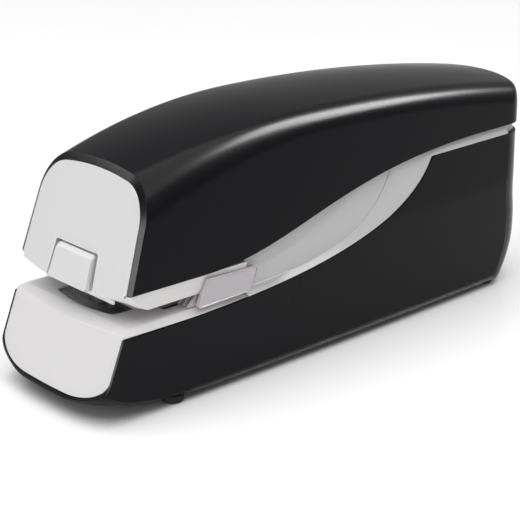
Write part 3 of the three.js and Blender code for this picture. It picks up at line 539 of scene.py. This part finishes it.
def cell_wrap(name, backward):
    """A printed sleeve: dark over most of the cell, copper at the contact end."""
    surface = Surface(name, 0.28)
    split = surface.nodes.new("ShaderNodeSeparateXYZ")
    surface.link(surface.place, split.inputs["Vector"])
    share = surface.nodes.new("ShaderNodeMath")
    share.operation = "SUBTRACT"
    share.inputs[1].default_value = CELL_STARTS[0] * MM
    surface.link(split.outputs["X"], share.inputs[0])
    turns = surface.nodes.new("ShaderNodeMath")
    turns.operation = "DIVIDE"
    turns.inputs[1].default_value = CELL_PITCH_X * MM
    surface.link(share.outputs["Value"], turns.inputs[0])
    part = surface.nodes.new("ShaderNodeMath")
    part.operation = "FRACT"
    surface.link(turns.outputs["Value"], part.inputs[0])
    sleeve, copper, bare = (0.012, 0.016, 0.03), (0.50, 0.22, 0.09), (0.55, 0.54, 0.52)
    if backward:
        stops = [(0.0, bare), (0.035, copper), (0.31, sleeve), (0.96, bare)]
    else:
        stops = [(0.0, bare), (0.015, sleeve), (0.66, copper), (0.94, bare)]
    ramp = surface.ramp(part.outputs["Value"], stops)
    ramp.node.color_ramp.interpolation = "CONSTANT"
    surface.spread(surface.noise(90), 0.22, 0.34)
    surface.bump(surface.noise(700), 0.01)
    return surface


materials = make_materials()


# ---------- casing ----------
HEAD_FILLET = 3.2
FILLET_STEPS = 8
CAP_ROWS = 12
COVER_EDGE = 0.42
RIM_RISE, RIM_WIDTH = 1.0, 1.9  # chamfer of the front rim, forward and across


def head_rows(inset):
    """The head from its front plane to its back face, then the back face down to the band."""
    fillet = HEAD_FILLET
    along = np.linspace(0, 1, 150)
    front = lambda y, z, _: front_at(z)
    back = lambda y, z, i: back_at(y, z, i, 0.6) - fillet
    half = loft(head_outline, front, back, along, inset)
    rim = loft(head_outline, lambda y, z, _: front_at(z, -RIM_RISE), back, [0.0], max(inset, RIM_WIDTH))
    rows = [rim, half]
    for angle in np.linspace(0, math.pi / 2, FILLET_STEPS + 1)[1:]:
        drop = fillet * (1 - math.cos(angle))
        x_face = lambda y, z, i: back_at(y, z, inset, 0.6) - fillet + fillet * math.sin(angle)
        ring = loft(head_outline, front, x_face, [1.0], inset + drop)
        rows.append(ring)
    ring = rows[-1][0]
    low = np.linspace(ring[0, 1], 0, ring.shape[0])
    target = np.column_stack([low, np.full(len(low), ring[0, 2])])
    face = lambda y, z, i: back_at(y, z, i, 0.6)
    cap = end_cap(ring[:, 1:], target, face, inset, CAP_ROWS)
    return mirrored(np.concatenate(rows + [cap]))


def upper_cover():
    obj = shell("upper_cover_shell", head_rows(0.0), head_rows(WALL))
    soften(obj, COVER_EDGE)
    place(obj, "casing", materials["cover"], "cover", "upper_cover")


OPENING_HALF, OPENING_Y, OPENING_Z, OPENING_DROP = 31.9, 12.0, 17.4, 9.2


def opening_edge(shrink, count_side, count_floor, top):
    """Half of the nose opening's edge, from its top down the side and round to the centre line."""
    angles = np.linspace(0, math.pi / 2, 40)
    reach = OPENING_HALF - OPENING_Y - shrink
    arc = np.column_stack([OPENING_Y + reach * np.cos(angles),
                           OPENING_Z - (OPENING_DROP - shrink) * np.sin(angles)])
    side = np.vstack([[OPENING_HALF - shrink, top], arc[:20]])
    floor = np.vstack([arc[19:], [0, OPENING_Z - OPENING_DROP + shrink]])
    return np.vstack([resample(side, count_side), resample(floor, count_floor)[1:]])


def base_rows(inset):
    """The base from the edge of its nose opening, along the body, to the back's upper edge."""
    along = np.linspace(0, 1, 150)
    half = loft(base_outline, nose_at, back_at, along, inset)
    nose_ring = half[0][:, 1:]
    opening = opening_edge(0.0, WALL_ROWS, FLOOR_ROWS, nose_ring[0, 1])
    nose = end_cap(nose_ring, opening, nose_at, inset, CAP_ROWS)[::-1]
    back_ring = half[-1][:, 1:]
    low = np.linspace(back_ring[0, 0], 0, len(back_ring))
    target = np.column_stack([low, np.full(len(low), back_ring[0, 1])])
    back = end_cap(back_ring, target, back_at, inset, 18)
    return mirrored(np.concatenate([nose, half, back]))


DOOR_X0, DOOR_X1, DOOR_HALF, DOOR_GAP, DOOR_TRAVEL = -42.0, 70.0, 25.0, 0.4, 6.5
JACK_Z, JACK_RADIUS = 16.0, 4.4
SCREWS = [(-60, -22), (-60, 22), (92, -17), (92, 17)]
WELL_RADIUS = 3.4
FEET = [(-82, -27.6), (-82, 27.6), (92, -25), (92, 25)]


def lower_cover():
    obj = shell("lower_cover_shell", base_rows(0.0), base_rows(WALL))
    soften(obj, COVER_EDGE)
    bake_modifiers(obj)
    first, last, half = DOOR_X0 - DOOR_GAP, DOOR_X1 + DOOR_GAP + DOOR_TRAVEL, DOOR_HALF + DOOR_GAP
    doorway = rounded([(first, -half), (last, -half), (last, half), (first, half)], [1.2] * 4)
    cutters = [
        prism("doorway", doorway, 2, 0, 6),
        prism("jack", circle(0, JACK_Z, JACK_RADIUS), 0, 100, 125),
    ]
    cutters += [prism("screw_well", circle(x, y, WELL_RADIUS, 32), 2, 0, 8) for x, y in SCREWS]
    carve(obj, cutters)
    place(obj, "casing", materials["cover"], "cover", "lower_cover")


ARCH_LOW, ARCH_RISE, ARCH_HALF = 42.4, 2.6, 32.0
PANEL_FACE, PANEL_BOW, PANEL_BACK = -0.95, 1.1, 2.7
SKIRT_Z, SKIRT_TOP, FLOOR_TOP = 39.1, 46.0, 41.1


def arch_at(y):
    """Height of the front panel's lower edge."""
    return ARCH_LOW + ARCH_RISE * (np.abs(y) / ARCH_HALF) ** 2.2


def front_section(inset, count):
    """Half section of the head where its front plane cuts it."""
    xs = np.linspace(front_at(40), front_at(96), 24)
    table = np.array([head_outline(x, inset, count) for x in xs])
    section = table[len(xs) // 2]
    columns = np.arange(count)
    for _ in range(6):
        place = np.clip((front_at(section[:, 1]) - xs[0]) / (xs[1] - xs[0]), 0, len(xs) - 1.001)
        index = place.astype(int)
        part = (place - index)[:, None]
        section = table[index, columns] * (1 - part) + table[index + 1, columns] * part
    return section


def face_at(y, z):
    """The front panel's bowed face."""
    return front_at(z, PANEL_FACE - PANEL_BOW * (1 - (y / ARCH_HALF) ** 2))


def front_panel():
    """The leaning, bowed front: the head's section inside the rim, with an arched foot and a notch."""
    notch_half, notch_top, corner_y = 13.4, 56.9, 29.6
    side = [tuple(p) for p in front_section(WALL + 0.05, 70)]
    side = [(y, z) for y, z in side if z > SKIRT_TOP + 0.2]
    foot = [(corner_y, float(arch_at(corner_y))), (corner_y, SKIRT_TOP + 0.2), (side[0][0], SKIRT_TOP + 0.2)]
    side = foot + side
    notch = rounded([(-notch_half, 30), (-notch_half, notch_top), (notch_half, notch_top), (notch_half, 30)],
                    [0, 2.2, 2.2, 0])
    notch = [p for p in notch if p[1] > 50]
    edge = [(y, float(arch_at(y))) for y in np.linspace(notch_half, corner_y, 12)]
    right = side + [(-y, z) for y, z in reversed(side[:-1])]
    outline = right + [(-y, z) for y, z in reversed(edge[:-1])] + notch + edge[:-1]
    rings = [[(front_at(z, offset), y, z) for y, z in outline] for offset in (PANEL_FACE, PANEL_BACK)]
    obj = stack("front_panel_plate", rings)
    work = bmesh.new()
    work.from_mesh(obj.data)
    for y in np.linspace(-28, 28, 29):
        everything = work.verts[:] + work.edges[:] + work.faces[:]
        bmesh.ops.bisect_plane(work, geom=everything, plane_co=(0, y * MM, 0), plane_no=(0, 1, 0), dist=MERGE)
    for vert in work.verts:
        x, y, z = vert.co / MM
        if x < front_at(z, 0):
            vert.co.x = face_at(y, z) * MM
    weights = work.edges.layers.float.new("bevel_weight_edge")
    for edge in work.edges:
        start, end = (vert.co for vert in edge.verts)
        y = abs(start.y + end.y) / 2 / MM
        z = (start.z + end.z) / 2 / MM
        turned = edge.is_manifold and edge.calc_face_angle(0) > math.radians(35)
        beside = notch_half - 2.5 < y < notch_half + 0.3 and z < notch_top - 0.3
        edge[weights] = (1.0 if beside else 0.12) if turned else 0.0
    work.to_mesh(obj.data)
    work.free()
    soften(obj, 2.0, 5)
    obj.modifiers["edges"].limit_method = "WEIGHT"
    place(obj, "casing", materials["front"], "front", "front_panel")


def upper_frame():
    """The white tray under the head: a floor, side skirts, and a lip that falls back from the front panel."""
    first, last, inner, outer, shear = 12.7, 31.0, 29.4, 31.0, 0.16
    back = DECK_END

    def column(y, top):
        fall = min(1.0, (y - first) / (last - first))
        low = (-103.4 + 8.4 * fall, 42.2 - 3.1 * fall)
        floor_x = max(low[0] + 0.3, -96.5)
        lip = float(arch_at(y)) - 0.12
        if top > 42:
            lip = top
        front = (face_at(y, lip) + 0.3, lip)
        behind = (front_at(lip, PANEL_BACK + 0.6), lip)
        middle = ((front[0] + low[0]) / 2 - 0.15, (front[1] + low[1]) / 2 - 0.15)
        loop = [front, middle, low, (floor_x, SKIRT_Z), (back, SKIRT_Z), (back, top),
                (behind[0] + 3.0, top), behind]
        lean = shear if top > 42 or y >= inner else 0.0
        return [(x, y + lean * (z - SKIRT_Z), z) for x, z in loop]

    floor = [column(y, FLOOR_TOP) for y in np.linspace(first, inner - 0.3, 14)]
    wall = [column(y, SKIRT_TOP) for y in (inner, inner + 0.01, outer - 0.01, outer)]
    parts = []
    for side in (-1, 1):
        half = [[(x, side * y, z) for x, y, z in loop] for loop in floor + wall]
        parts.append(stack("half", half))
        rail = [(side * 9.4, SKIRT_Z), (side * first, SKIRT_Z), (side * first, FLOOR_TOP),
                (side * 9.4, FLOOR_TOP)]
        parts.append(prism("rail", rounded(rail, [0] * 4), 0, -96.0, back))
        rib = sorted((side * 10.0, side * 11.5))
        parts.append(box("rib", -60, back, rib[0], rib[1], 41.0, 52.0))
    parts.append(box("bridge", -60, back, -10.5, 10.5, 51, 52.5))
    for part in parts:
        soften(part, 0.3, 3, 35)
        bake_modifiers(part)
    obj = join("upper_frame_tray", parts)
    place(obj, "casing", materials["frame"], "frame", "upper_frame")


DECK_SIDE_Z = 31.8
DECK_TOP_Y, DECK_SIDE_Y = 30.4, 32.7
DECK_END = -50.2
RAMP_START, RAMP_END, RAMP_LOW = -110.4, -103.0, 31.2
SMOOTH = 0.25


def soft_min(a, b, radius):
    """The smaller of two values, with a rounded change from one to the other."""
    share = np.clip(0.5 + (b - a) / (2 * radius), 0, 1)
    return b + (a - b) * share - radius * share * (1 - share)


def anvil_front(y):
    """The anvil's bowed front edge."""
    return -101.1 + 2.8 * (y / 17.0) ** 2


def base_deck():
    """The nose panel, the ramp and the paper deck, as one moulding with chamfered sides."""
    inset, inner_inset = 0.4, 2.8

    def deck_at(x, y):
        ramp = RAMP_LOW + (x - RAMP_START) * (DECK_Z - RAMP_LOW) / (RAMP_END - RAMP_START)
        flat = soft_min(ramp, DECK_Z, SMOOTH)
        slope = (DECK_Z - DECK_SIDE_Z) / (DECK_SIDE_Y - DECK_TOP_Y)
        chamfer = DECK_Z - slope * (abs(y) - DECK_TOP_Y)
        return float(soft_min(flat, chamfer, 0.2))

    def side_low(x):
        return max(DECK_SIDE_Z, float(base_edge(x)) + GAP)

    def column(y, panel):
        away = min(1.0, max(0.0, abs(y) - OPENING_Y) / (OPENING_HALF - OPENING_Y - GAP))
        low = OPENING_Z - (OPENING_DROP - GAP) * math.sqrt(1 - away**2) if panel else DECK_SIDE_Z
        crease = CREASE_Z
        for _ in range(8):
            crease = deck_at(float(nose_at(y, crease, inset)), y)
        crease = max(crease, low + 0.02)
        radius = min(0.55, (crease - low) / 3)
        nose = lambda z: float(nose_at(y, z, inset))
        face = [(nose(z), z) for z in np.linspace(low, crease - radius, 18)]
        start, corner, after = face[-1], (nose(crease), crease), nose(crease) + radius
        after = (after, deck_at(after, y))
        turn = [(1 - t) ** 2 * np.array(start) + 2 * (1 - t) * t * np.array(corner) + t**2 * np.array(after)
                for t in np.linspace(0, 1, 7)[1:]]
        face += [tuple(p) for p in turn]
        xs = np.concatenate([np.linspace(after[0], RAMP_END - 0.6, 8)[1:],
                             np.linspace(RAMP_END - 0.45, RAMP_END + 0.45, 7),
                             np.linspace(RAMP_END + 0.8, DECK_END, 24)])
        deck = [(x, deck_at(x, y)) for x in xs]
        if abs(y) > OPENING_HALF - 1.2:
            deck = [(x, max(z, side_low(x) + 0.02)) for x, z in deck]
        floor = lambda x: side_low(x) - 0.02 if abs(y) > OPENING_HALF - 1.2 else DECK_SIDE_Z
        depth = inner_inset if panel else inset
        under = [(x, floor(x)) for x in np.linspace(DECK_END, nose_at(y, DECK_SIDE_Z, depth), 12)]
        plate = [(float(nose_at(y, z, depth)), min(z, DECK_SIDE_Z))
                 for z in np.linspace(DECK_SIDE_Z, min(low, DECK_SIDE_Z), 10)[1:]]
        width = lambda x: min(abs(y), float(half_width(x, DECK_SIDE_Z)) - inset) * np.sign(y)
        return [(x, width(x), z) for x, z in face + deck + under + plate]

    panel_half = OPENING_HALF - GAP
    inner = list(np.linspace(0, OPENING_Y, 8))
    inner += [OPENING_Y + (panel_half - OPENING_Y) * math.sin(a) for a in np.linspace(0, math.pi / 2, 22)[1:]]
    outer = [panel_half + 0.02] + list(np.linspace(panel_half + 0.2, DECK_SIDE_Y, 6))
    half = [column(y, True) for y in inner] + [column(y, False) for y in outer]
    other = [[(x, -y, z) for x, y, z in loop] for loop in half[:0:-1]]
    obj = stack("base_deck_moulding", other + half)
    recess = [(anvil_front(y) - 0.3, y) for y in np.linspace(-16.6, 16.6, 25)] + [(-89, 17.2), (-89, -17.2)]
    pockets = [prism("anvil_recess", recess, 2, 29, 40)]
    for side in (-1, 1):
        corners = [(-83, side * 19), (-68, side * 19), (-68, side * 24.6), (-83, side * 24.6)]
        pockets.append(prism("pocket", rounded(corners, [1.0] * 4), 2, 31, 40))
    carve(obj, pockets)
    crisp(obj, 30)
    place(obj, "casing", materials["deck"], "deck", "base_deck")


PANEL_INSET = 2.9
BORDER_INSET = 0.6
STOP_TRACK = (-38.0, -26.0)  # the border is low up to here, so that the paper stop can slide over it


def side_panel(side, name):
    """The recessed pale band between the covers, with its proud chamfered border."""
    z_ref = 60.0
    side_ref = half_width(105, z_ref) - PANEL_INSET
    corner_x = float(back_at(side_ref, z_ref, PANEL_INSET))
    plan = [(x, None) for x in np.linspace(DECK_END + 0.15, corner_x, 150)]
    plan += [(None, side_ref - BACK_CORNER * (1 - math.cos(a))) for a in np.linspace(0, math.pi / 2, 12)[1:]]
    plan += [(None, y) for y in np.linspace(side_ref - BACK_CORNER, 0.15, 26)[1:]]

    def point(x, y, z, depth):
        if y is None:
            return (x, half_width(x, z) - PANEL_INSET - depth, z)
        return (back_at(y, z, PANEL_INSET) - depth, y, z)

    def levels(x):
        edge, high = float(base_edge(x)), float(head_edge(x))
        top = max(float(leaf_edge(x)), edge + 1.0)
        top = min(top, high + 1.0)
        track = smooth((x - STOP_TRACK[0]) / (STOP_TRACK[1] - STOP_TRACK[0]))
        shoulder = (1 - track) * min(max(DECK_Z + 0.1, edge + 0.8), top) + track * top
        return edge, shoulder, top, high

    def profile(x):
        """Heights and depths from below the cover's edge to behind the head's edge."""
        edge, shoulder, top, high = levels(x)
        proud = BORDER_INSET - PANEL_INSET
        near = -0.35
        fine = 0.35
        zs = [edge - 4, edge - 1.0, edge + 0.1, edge + GAP]
        depths = [proud + 1.6, proud + 1.6, proud + 0.5, proud]
        for t in np.linspace(0.12, 1, 8):
            zs.append(edge + GAP + (shoulder - edge - GAP) * t)
            depths.append(proud + (near - proud) * t)
        zs += [max(shoulder + 0.05, top - 0.05), top + 0.12 * fine, top + 0.5 * fine, top + fine]
        depths += [near, near + 0.05, -0.05, 0.0]
        crown = high - 5.0 if high - top > 8 else max(top + fine, top + 0.6 * (high - top)) + 0.05
        for t in np.linspace(0, 1, 12)[1:]:
            zs.append(top + fine + (crown - top - fine) * t)
            depths.append(0.0)
        for t in np.linspace(0, 1, 6)[1:]:
            zs.append(crown + (high + 4 - crown) * t)
            depths.append(0.0)
        return np.array(zs), np.array(depths)

    def leaf_fold(x, z):
        """A faint fold from the paper stop up to the head's edge."""
        fold = 43.6 + 0.16 * (x + 41.5) + 0.004 * np.maximum(0, x + 41.5) ** 2
        return 0.35 * smooth((z - fold + 0.5) / 1.0) * (1 - smooth((x + 5) / 20))

    def surface(extra):
        rows = []
        for x, y in plan:
            x_at = x if y is None else float(back_at(y, z_ref, PANEL_INSET))
            zs, depths = profile(x_at)
            row = [point(x, y, z, extra + float(d if not extra else 0) + float(leaf_fold(x_at, z)))
                   for z, d in zip(zs, depths)]
            rows.append([(px, side * py, pz) for px, py, pz in row])
        return np.array(rows, float)

    obj = shell(name + "_band", surface(0.0), surface(1.8))
    crisp(obj, 38)
    place(obj, "casing", materials["band"], "band", name)


STOP_INNER, STOP_OUTER = 31.4, 33.1


def paper_stop():
    """The sliding depth stop: a block with a raised rim on each side, and a ribbed bar across the throat."""
    corners = [(-74.1, DECK_Z + GAP), (-48.9, DECK_Z + GAP), (-44.0, 44.6), (-69.8, 44.6)]
    radii = [1.0, 1.6, 2.0, 1.2]
    steps = [(0.12, STOP_INNER), (0.0, STOP_INNER + 0.12), (0.0, STOP_OUTER - 0.4)]
    for angle in np.linspace(0, math.pi / 2, 5)[1:]:
        steps.append((0.4 * (1 - math.cos(angle)), STOP_OUTER - 0.4 * (1 - math.sin(angle))))
    steps += [(0.95, STOP_OUTER), (1.1, STOP_OUTER - 0.06),
              (1.3, STOP_OUTER - 0.22), (1.5, STOP_OUTER - 0.28)]
    parts = []
    for side in (-1, 1):
        rings = []
        for inset, y in steps:
            outline = rounded(drawn_in(corners, inset), [max(0.3, r - inset) for r in radii])
            rings.append([(x, side * y, z) for x, z in outline])
        parts.append(stack("block", rings))
        for y in (29.6, 27.2, 24.8):
            rib = [(-76.5, 34.4), (-64.9, 34.4), (-64.9, 38.4), (-72.5, 38.4)]
            parts.append(soften(prism("rib", rib, 1, side * y - 0.5, side * y + 0.5), 0.15, 2))
    parts.append(soften(box("bar", -65, -61, -32.1, 32.1, 34.6, 38.6), 0.4))
    for part in parts:
        bake_modifiers(part)
    obj = crisp(join("paper_stop_slider", parts), 32)
    place(obj, "stop", materials["guide"], "guide", "paper_stop")


def anvil():
    """Dished steel plate with a bowed front edge and two grooves that turn the staple's legs in."""
    half, back = 16.3, -89.6
    top = []
    for u in np.linspace(0, 1, 40):
        row = []
        for y in np.linspace(-half, half, 67):
            front = anvil_front(y)
            x = front + (back - front) * u
            dish = 1.7 * math.sin(math.pi * u) ** 0.8 * (1 - (y / half) ** 4)
            across = abs(x + 92.0)
            reach = math.sin(math.pi * np.clip((abs(y) - 0.8) / 6.2, 0, 1))
            groove = 0.6 * max(0.0, 1 - (across / 1.3) ** 2) * reach
            row.append((x, y, 33.4 - dish - groove))
        top.append(row)
    top = np.array(top)
    bottom = top.copy()
    bottom[..., 2] = 31.0
    obj = crisp(shell("anvil_dished_plate", top, bottom), 40)
    place(obj, "casing", materials["anvil"], "anvil", "anvil_plate")


# ---------- magazine ----------
def magazine_tab():
    """The press tab: a plate with a chamfered rim that stands proud of the front, with two ears behind it."""
    half, low, high = 12.0, 42.0, 56.3

    def ring(offset, inset, drop):
        corners = [(-half, low), (half, low), (half, high - drop), (-half, high - drop)]
        radii = (1.6, 1.6, 2.4, 2.4)
        outline = rounded(drawn_in(corners, inset), [max(0.3, r - 0.6 * inset) for r in radii])
        return [(front_at(z, offset), y, z) for y, z in outline]

    steps = [(0.6, 0.2, 0), (0.4, 0, 0), (-1.75, 0, 0), (-1.9, 0.04, 0.08),
             (-2.86, 0.66, 0.72), (-2.97, 0.78, 0.84), (-3.0, 0.95, 0.9), (-3.0, 1.2, 0.9)]
    plate = stack("plate", [ring(*step) for step in steps])
    ears = []
    for side in (-1, 1):
        first, last = sorted((side * 9.6, side * 11.4))
        root, tip = front_at(44, 0.5), -98.7
        outline = rounded([(root, 42.2), (tip, 42.2), (tip, 45.2), (root, 45.2)], [0, 1.0, 1.0, 0])
        ears.append(prism("ear", outline, 1, first, last))
    obj = crisp(join("magazine_press_tab", [plate] + ears), 24)
    place(obj, "tab", materials["tab"], "tab", "magazine_tab")


def helix(name, radius, wire, turns, length, origin, axes, sides=10, steps=28):
    """A coil spring: a round wire swept along a helix, with its ends closed."""
    origin, (axis, first, second) = Vector(origin), (Vector(a) for a in axes)
    count = int(turns * steps) + 1
    rings = []
    for k in range(count):
        angle = 2 * math.pi * turns * k / (count - 1)
        out = first * math.cos(angle) + second * math.sin(angle)
        centre = origin + axis * (length * k / (count - 1)) + out * radius
        rings.append([tuple(centre + out * (wire / 2 * math.cos(t)) + axis * (wire / 2 * math.sin(t)))
                      for t in np.linspace(0, 2 * math.pi, sides, endpoint=False)])
    return stack(name, rings)


def springs():
    pusher = helix("pusher_coil", 1.7, 0.5, 9, 25, (-53.4, 0, 44.8), ((1, 0, 0), (0, 1, 0), (0, 0, 1)))
    place(pusher, "magazine", materials["steel"], "steel", "pusher_spring")
    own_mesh(pusher)
    lever = helix("lever_coil", 4.2, 1.0, 5, 9, (-28, 3.4, 66), ((0, 1, 0), (1, 0, 0), (0, 0, 1)))
    place(lever, "casing", materials["steel"], "steel", "lever_spring")


def staple_strip():
    """Separate staples, side by side: a crown and two legs of half-millimetre wire each."""
    wire, half, foot, top = 0.5, 6.4, 41.4, 48.1
    first, last = -91.1, -62.0
    count = int((last - first) / wire)
    parts = []
    outline = rounded([(-half, foot), (-half, top), (half, top), (half, foot), (half - wire, foot),
                       (half - wire, top - wire), (-half + wire, top - wire), (-half + wire, foot)],
                      [0, 0.7, 0.7, 0, 0, 0.3, 0.3, 0], 4)
    for k in range(count):
        start = first + k * wire
        staple = prism("staple", outline, 0, start + 0.01, start + wire - 0.01)
        parts.append(staple)
    obj = join("staple_strip_wires", parts)
    soften(obj, 0.1, 1, 60)
    place(obj, "magazine", materials["staples"], "staples", "staple_strip")


# ---------- small outside pieces ----------
def turned(name, profile, x, y, sides=40):
    """A lathed piece about a vertical axis: the profile's numbers are radius and height."""
    rings = []
    for radius, height in profile:
        rings.append([(x + a, y + b, height) for a, b in circle(0, 0, max(radius, 0.01), sides)])
    return stack(name, rings)


def feet_and_screws():
    for i, (x, y) in enumerate(FEET):
        arc = [(3.4 + 0.8 * math.sin(a), 0.8 * (1 - math.cos(a))) for a in np.linspace(0, math.pi / 2, 6)]
        profile = [(0.01, 0.25), (2.2, 0.25), (2.6, 0.0)] + arc
        profile += [(4.2, BASE_Z - 0.05), (0.01, BASE_Z - 0.05)]
        obj = turned("foot_pad_%d" % (i + 1), profile, x, y)
        soften(obj, 0.1, 2, 40)
        place(obj, "casing", materials["rubber"], "rubber", "foot_%d" % (i + 1))
    for i, (x, y) in enumerate(SCREWS):
        head = [(0.01, 3.5), (2.3, 3.5), (2.8, 3.8), (3.0, 4.3), (3.0, 5.6), (1.5, 5.6)]
        thread = []
        for k in range(12):
            thread += [(1.5, 5.7 + k * 0.9), (1.1, 6.15 + k * 0.9)]
        obj = turned("base_screw_turned_%d" % (i + 1), head + thread + [(1.0, 17.0), (0.01, 17.0)], x, y)
        slots = [box("slot", x - 1.9, x + 1.9, y - 0.4, y + 0.4, 3, 4.6),
                 box("slot", x - 0.4, x + 0.4, y - 1.9, y + 1.9, 3, 4.6)]
        carve(obj, slots)
        place(obj, "casing", materials["contact"], "contact", "base_screw_%d" % (i + 1))


def battery_door():
    corners = [(DOOR_X0, -DOOR_HALF), (DOOR_X1, -DOOR_HALF), (DOOR_X1, DOOR_HALF), (DOOR_X0, DOOR_HALF)]
    outline = rounded(corners, [1.0] * 4)
    plate = soften(prism("battery_door_plate", outline, 2, 3.2, 5.2), 0.35)
    bake_modifiers(plate)
    ridges = []
    for k in range(4):
        x = 55.7 + 3 * k
        groove = rounded([(x - 0.7, -9), (x + 0.7, -9), (x + 0.7, 9), (x - 0.7, 9)], [0.6] * 4)
        ridges.append(prism("groove", groove, 2, 3.0, 3.9))
    arrow = [(40, -5), (48, 0), (40, 5), (42.5, 0)]
    ridges.append(prism("arrow", arrow, 2, 3.0, 3.7))
    carve(plate, ridges)
    place(plate, "door", materials["cover"], "cover", "battery_door")


# ---------- CAD nodes that stay ----------
def dress(node, material, width=0.2, segments=2):
    """Keeps a CAD node's shape, joins its flat triangles, rounds its edges and gives it a material."""
    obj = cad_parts[node]
    obj.data.materials.clear()
    obj.data.materials.append(materials[material])
    for polygon in obj.data.polygons:
        polygon.use_smooth = True
    weld = obj.modifiers.new("weld", "WELD")
    weld.merge_threshold = 2e-6
    flat = obj.modifiers.new("flat", "DECIMATE")
    flat.decimate_type = "DISSOLVE"
    flat.angle_limit = math.radians(1.0)
    soften(obj, width, segments)


def dress_frame_nodes():
    plain = {
        "steel": ["magazine_channel", "magazine_core", "tab_pin", "cam_axle", "gear_b_axle", "gear_a_axle",
                  "motor_mount", "drive_lever", "lever_pin", "driver_blade", "trigger_pin"],
        "tab": ["magazine_front"],
        "natural": ["staple_pusher", "cam_gear", "reduction_gear_b", "reduction_gear_a",
                    "gearbox_plate_inner", "gearbox_plate_outer", "chassis"],
        "brass": ["motor_pinion"],
        "motor": ["motor"],
        "dark": ["battery_tray", "power_inlet"],
        "contact": ["contact_strip_front", "contact_strip_back", "inlet_pin"],
        "board": ["circuit_board"],
        "switch": ["trigger_switch"],
        "guide": ["trigger_lever"],
    }
    for material, nodes in plain.items():
        for node in nodes:
            dress(node, material, 0.12 if "gear" in node or "pin" in node or "axle" in node else 0.25)
    for k in range(6):
        dress("battery_%d" % (k + 1), "cell" if k % 3 == 1 else "cell_back", 0.15)


upper_cover()
lower_cover()
front_panel()
upper_frame()
base_deck()
side_panel(1, "side_panel_left")
side_panel(-1, "side_panel_right")
paper_stop()
anvil()
magazine_tab()
springs()
staple_strip()
feet_and_screws()
battery_door()
dress_frame_nodes()


# ---------- stage, light and camera ----------
def make_floor():
    mesh = bpy.data.meshes.new("floor")
    reach = 8.0
    corners = [(-reach, -reach, 0), (reach, -reach, 0), (reach, reach, 0), (-reach, reach, 0)]
    mesh.from_pydata(corners, [], [(0, 1, 2, 3)])
    floor = bpy.data.objects.new("floor", mesh)
    bpy.context.scene.collection.objects.link(floor)
    surface = Surface("floor_white", 0.18, specular=0.35)
    surface.ramp(surface.noise(3), [(0.3, (0.93, 0.93, 0.93)), (0.7, (0.95, 0.95, 0.95))])
    floor.data.materials.append(surface.material)


def softbox(name, position, target, size, power, gloss_only=False):
    """An area lamp aimed at the target; with gloss_only it shows in reflections only."""
    lamp = bpy.data.lights.new(name, "AREA")
    lamp.shape = "RECTANGLE"
    lamp.size, lamp.size_y = size
    lamp.energy = power
    obj = bpy.data.objects.new(name, lamp)
    bpy.context.scene.collection.objects.link(obj)
    obj.location = position
    obj.rotation_euler = (Vector(target) - Vector(position)).to_track_quat("-Z", "Y").to_euler()
    obj.visible_diffuse = not gloss_only


def make_light():
    world = bpy.data.worlds.new("studio")
    bpy.context.scene.world = world
    world.use_nodes = True
    background = world.node_tree.nodes["Background"]
    background.inputs["Color"].default_value = (1, 1, 1, 1)
    background.inputs["Strength"].default_value = 0.40
    ceiling = bpy.data.lights.new("ceiling", "SUN")
    ceiling.energy = 2.85
    ceiling.angle = 1.4
    lamp = bpy.data.objects.new("ceiling", ceiling)
    lamp.rotation_euler = (0.05, -0.08, 0)
    bpy.context.scene.collection.objects.link(lamp)
    softbox("front_fill", (-1.2, 0.25, 0.32), (-0.05, 0, 0.05), (0.6, 0.5), 1.7)
    softbox("shoulder_card", (0.9, -0.37, 1.1), (0.02, -0.03, 0.085), (0.55, 0.8), 60, True)
    softbox("front_card", (-1.34, -0.225, 0.33), (-0.09, -0.03, 0.06), (0.7, 0.5), 22, True)
    softbox("left_card", (-0.64, 0.97, 0.93), (-0.09, 0, 0.08), (0.5, 0.4), 7, True)


CAMERA_AZIMUTH = -42.49
CAMERA_ELEVATION = 20.303
CAMERA_ROLL = 0.174
CAMERA_DISTANCE = 596.7
CAMERA_TARGET = (-14.44, 0.0, 28.92)
LENS = 105.55


def make_camera():
    azimuth, elevation = math.radians(CAMERA_AZIMUTH), math.radians(CAMERA_ELEVATION)
    away = Vector((math.sin(azimuth) * math.cos(elevation), -math.cos(azimuth) * math.cos(elevation),
                   math.sin(elevation)))
    data = bpy.data.cameras.new("camera")
    data.lens = LENS
    data.sensor_width = 36
    data.clip_start, data.clip_end = 0.01, 50
    camera = bpy.data.objects.new("camera", data)
    bpy.context.scene.collection.objects.link(camera)
    camera.location = (Vector(CAMERA_TARGET) + away * CAMERA_DISTANCE) * MM
    aim = (-away).to_track_quat("-Z", "Y") @ Quaternion((0, 0, 1), math.radians(CAMERA_ROLL))
    camera.rotation_euler = aim.to_euler()
    bpy.context.scene.camera = camera


make_floor()
make_light()
make_camera()
bpy.context.scene.view_settings.view_transform = "Standard"
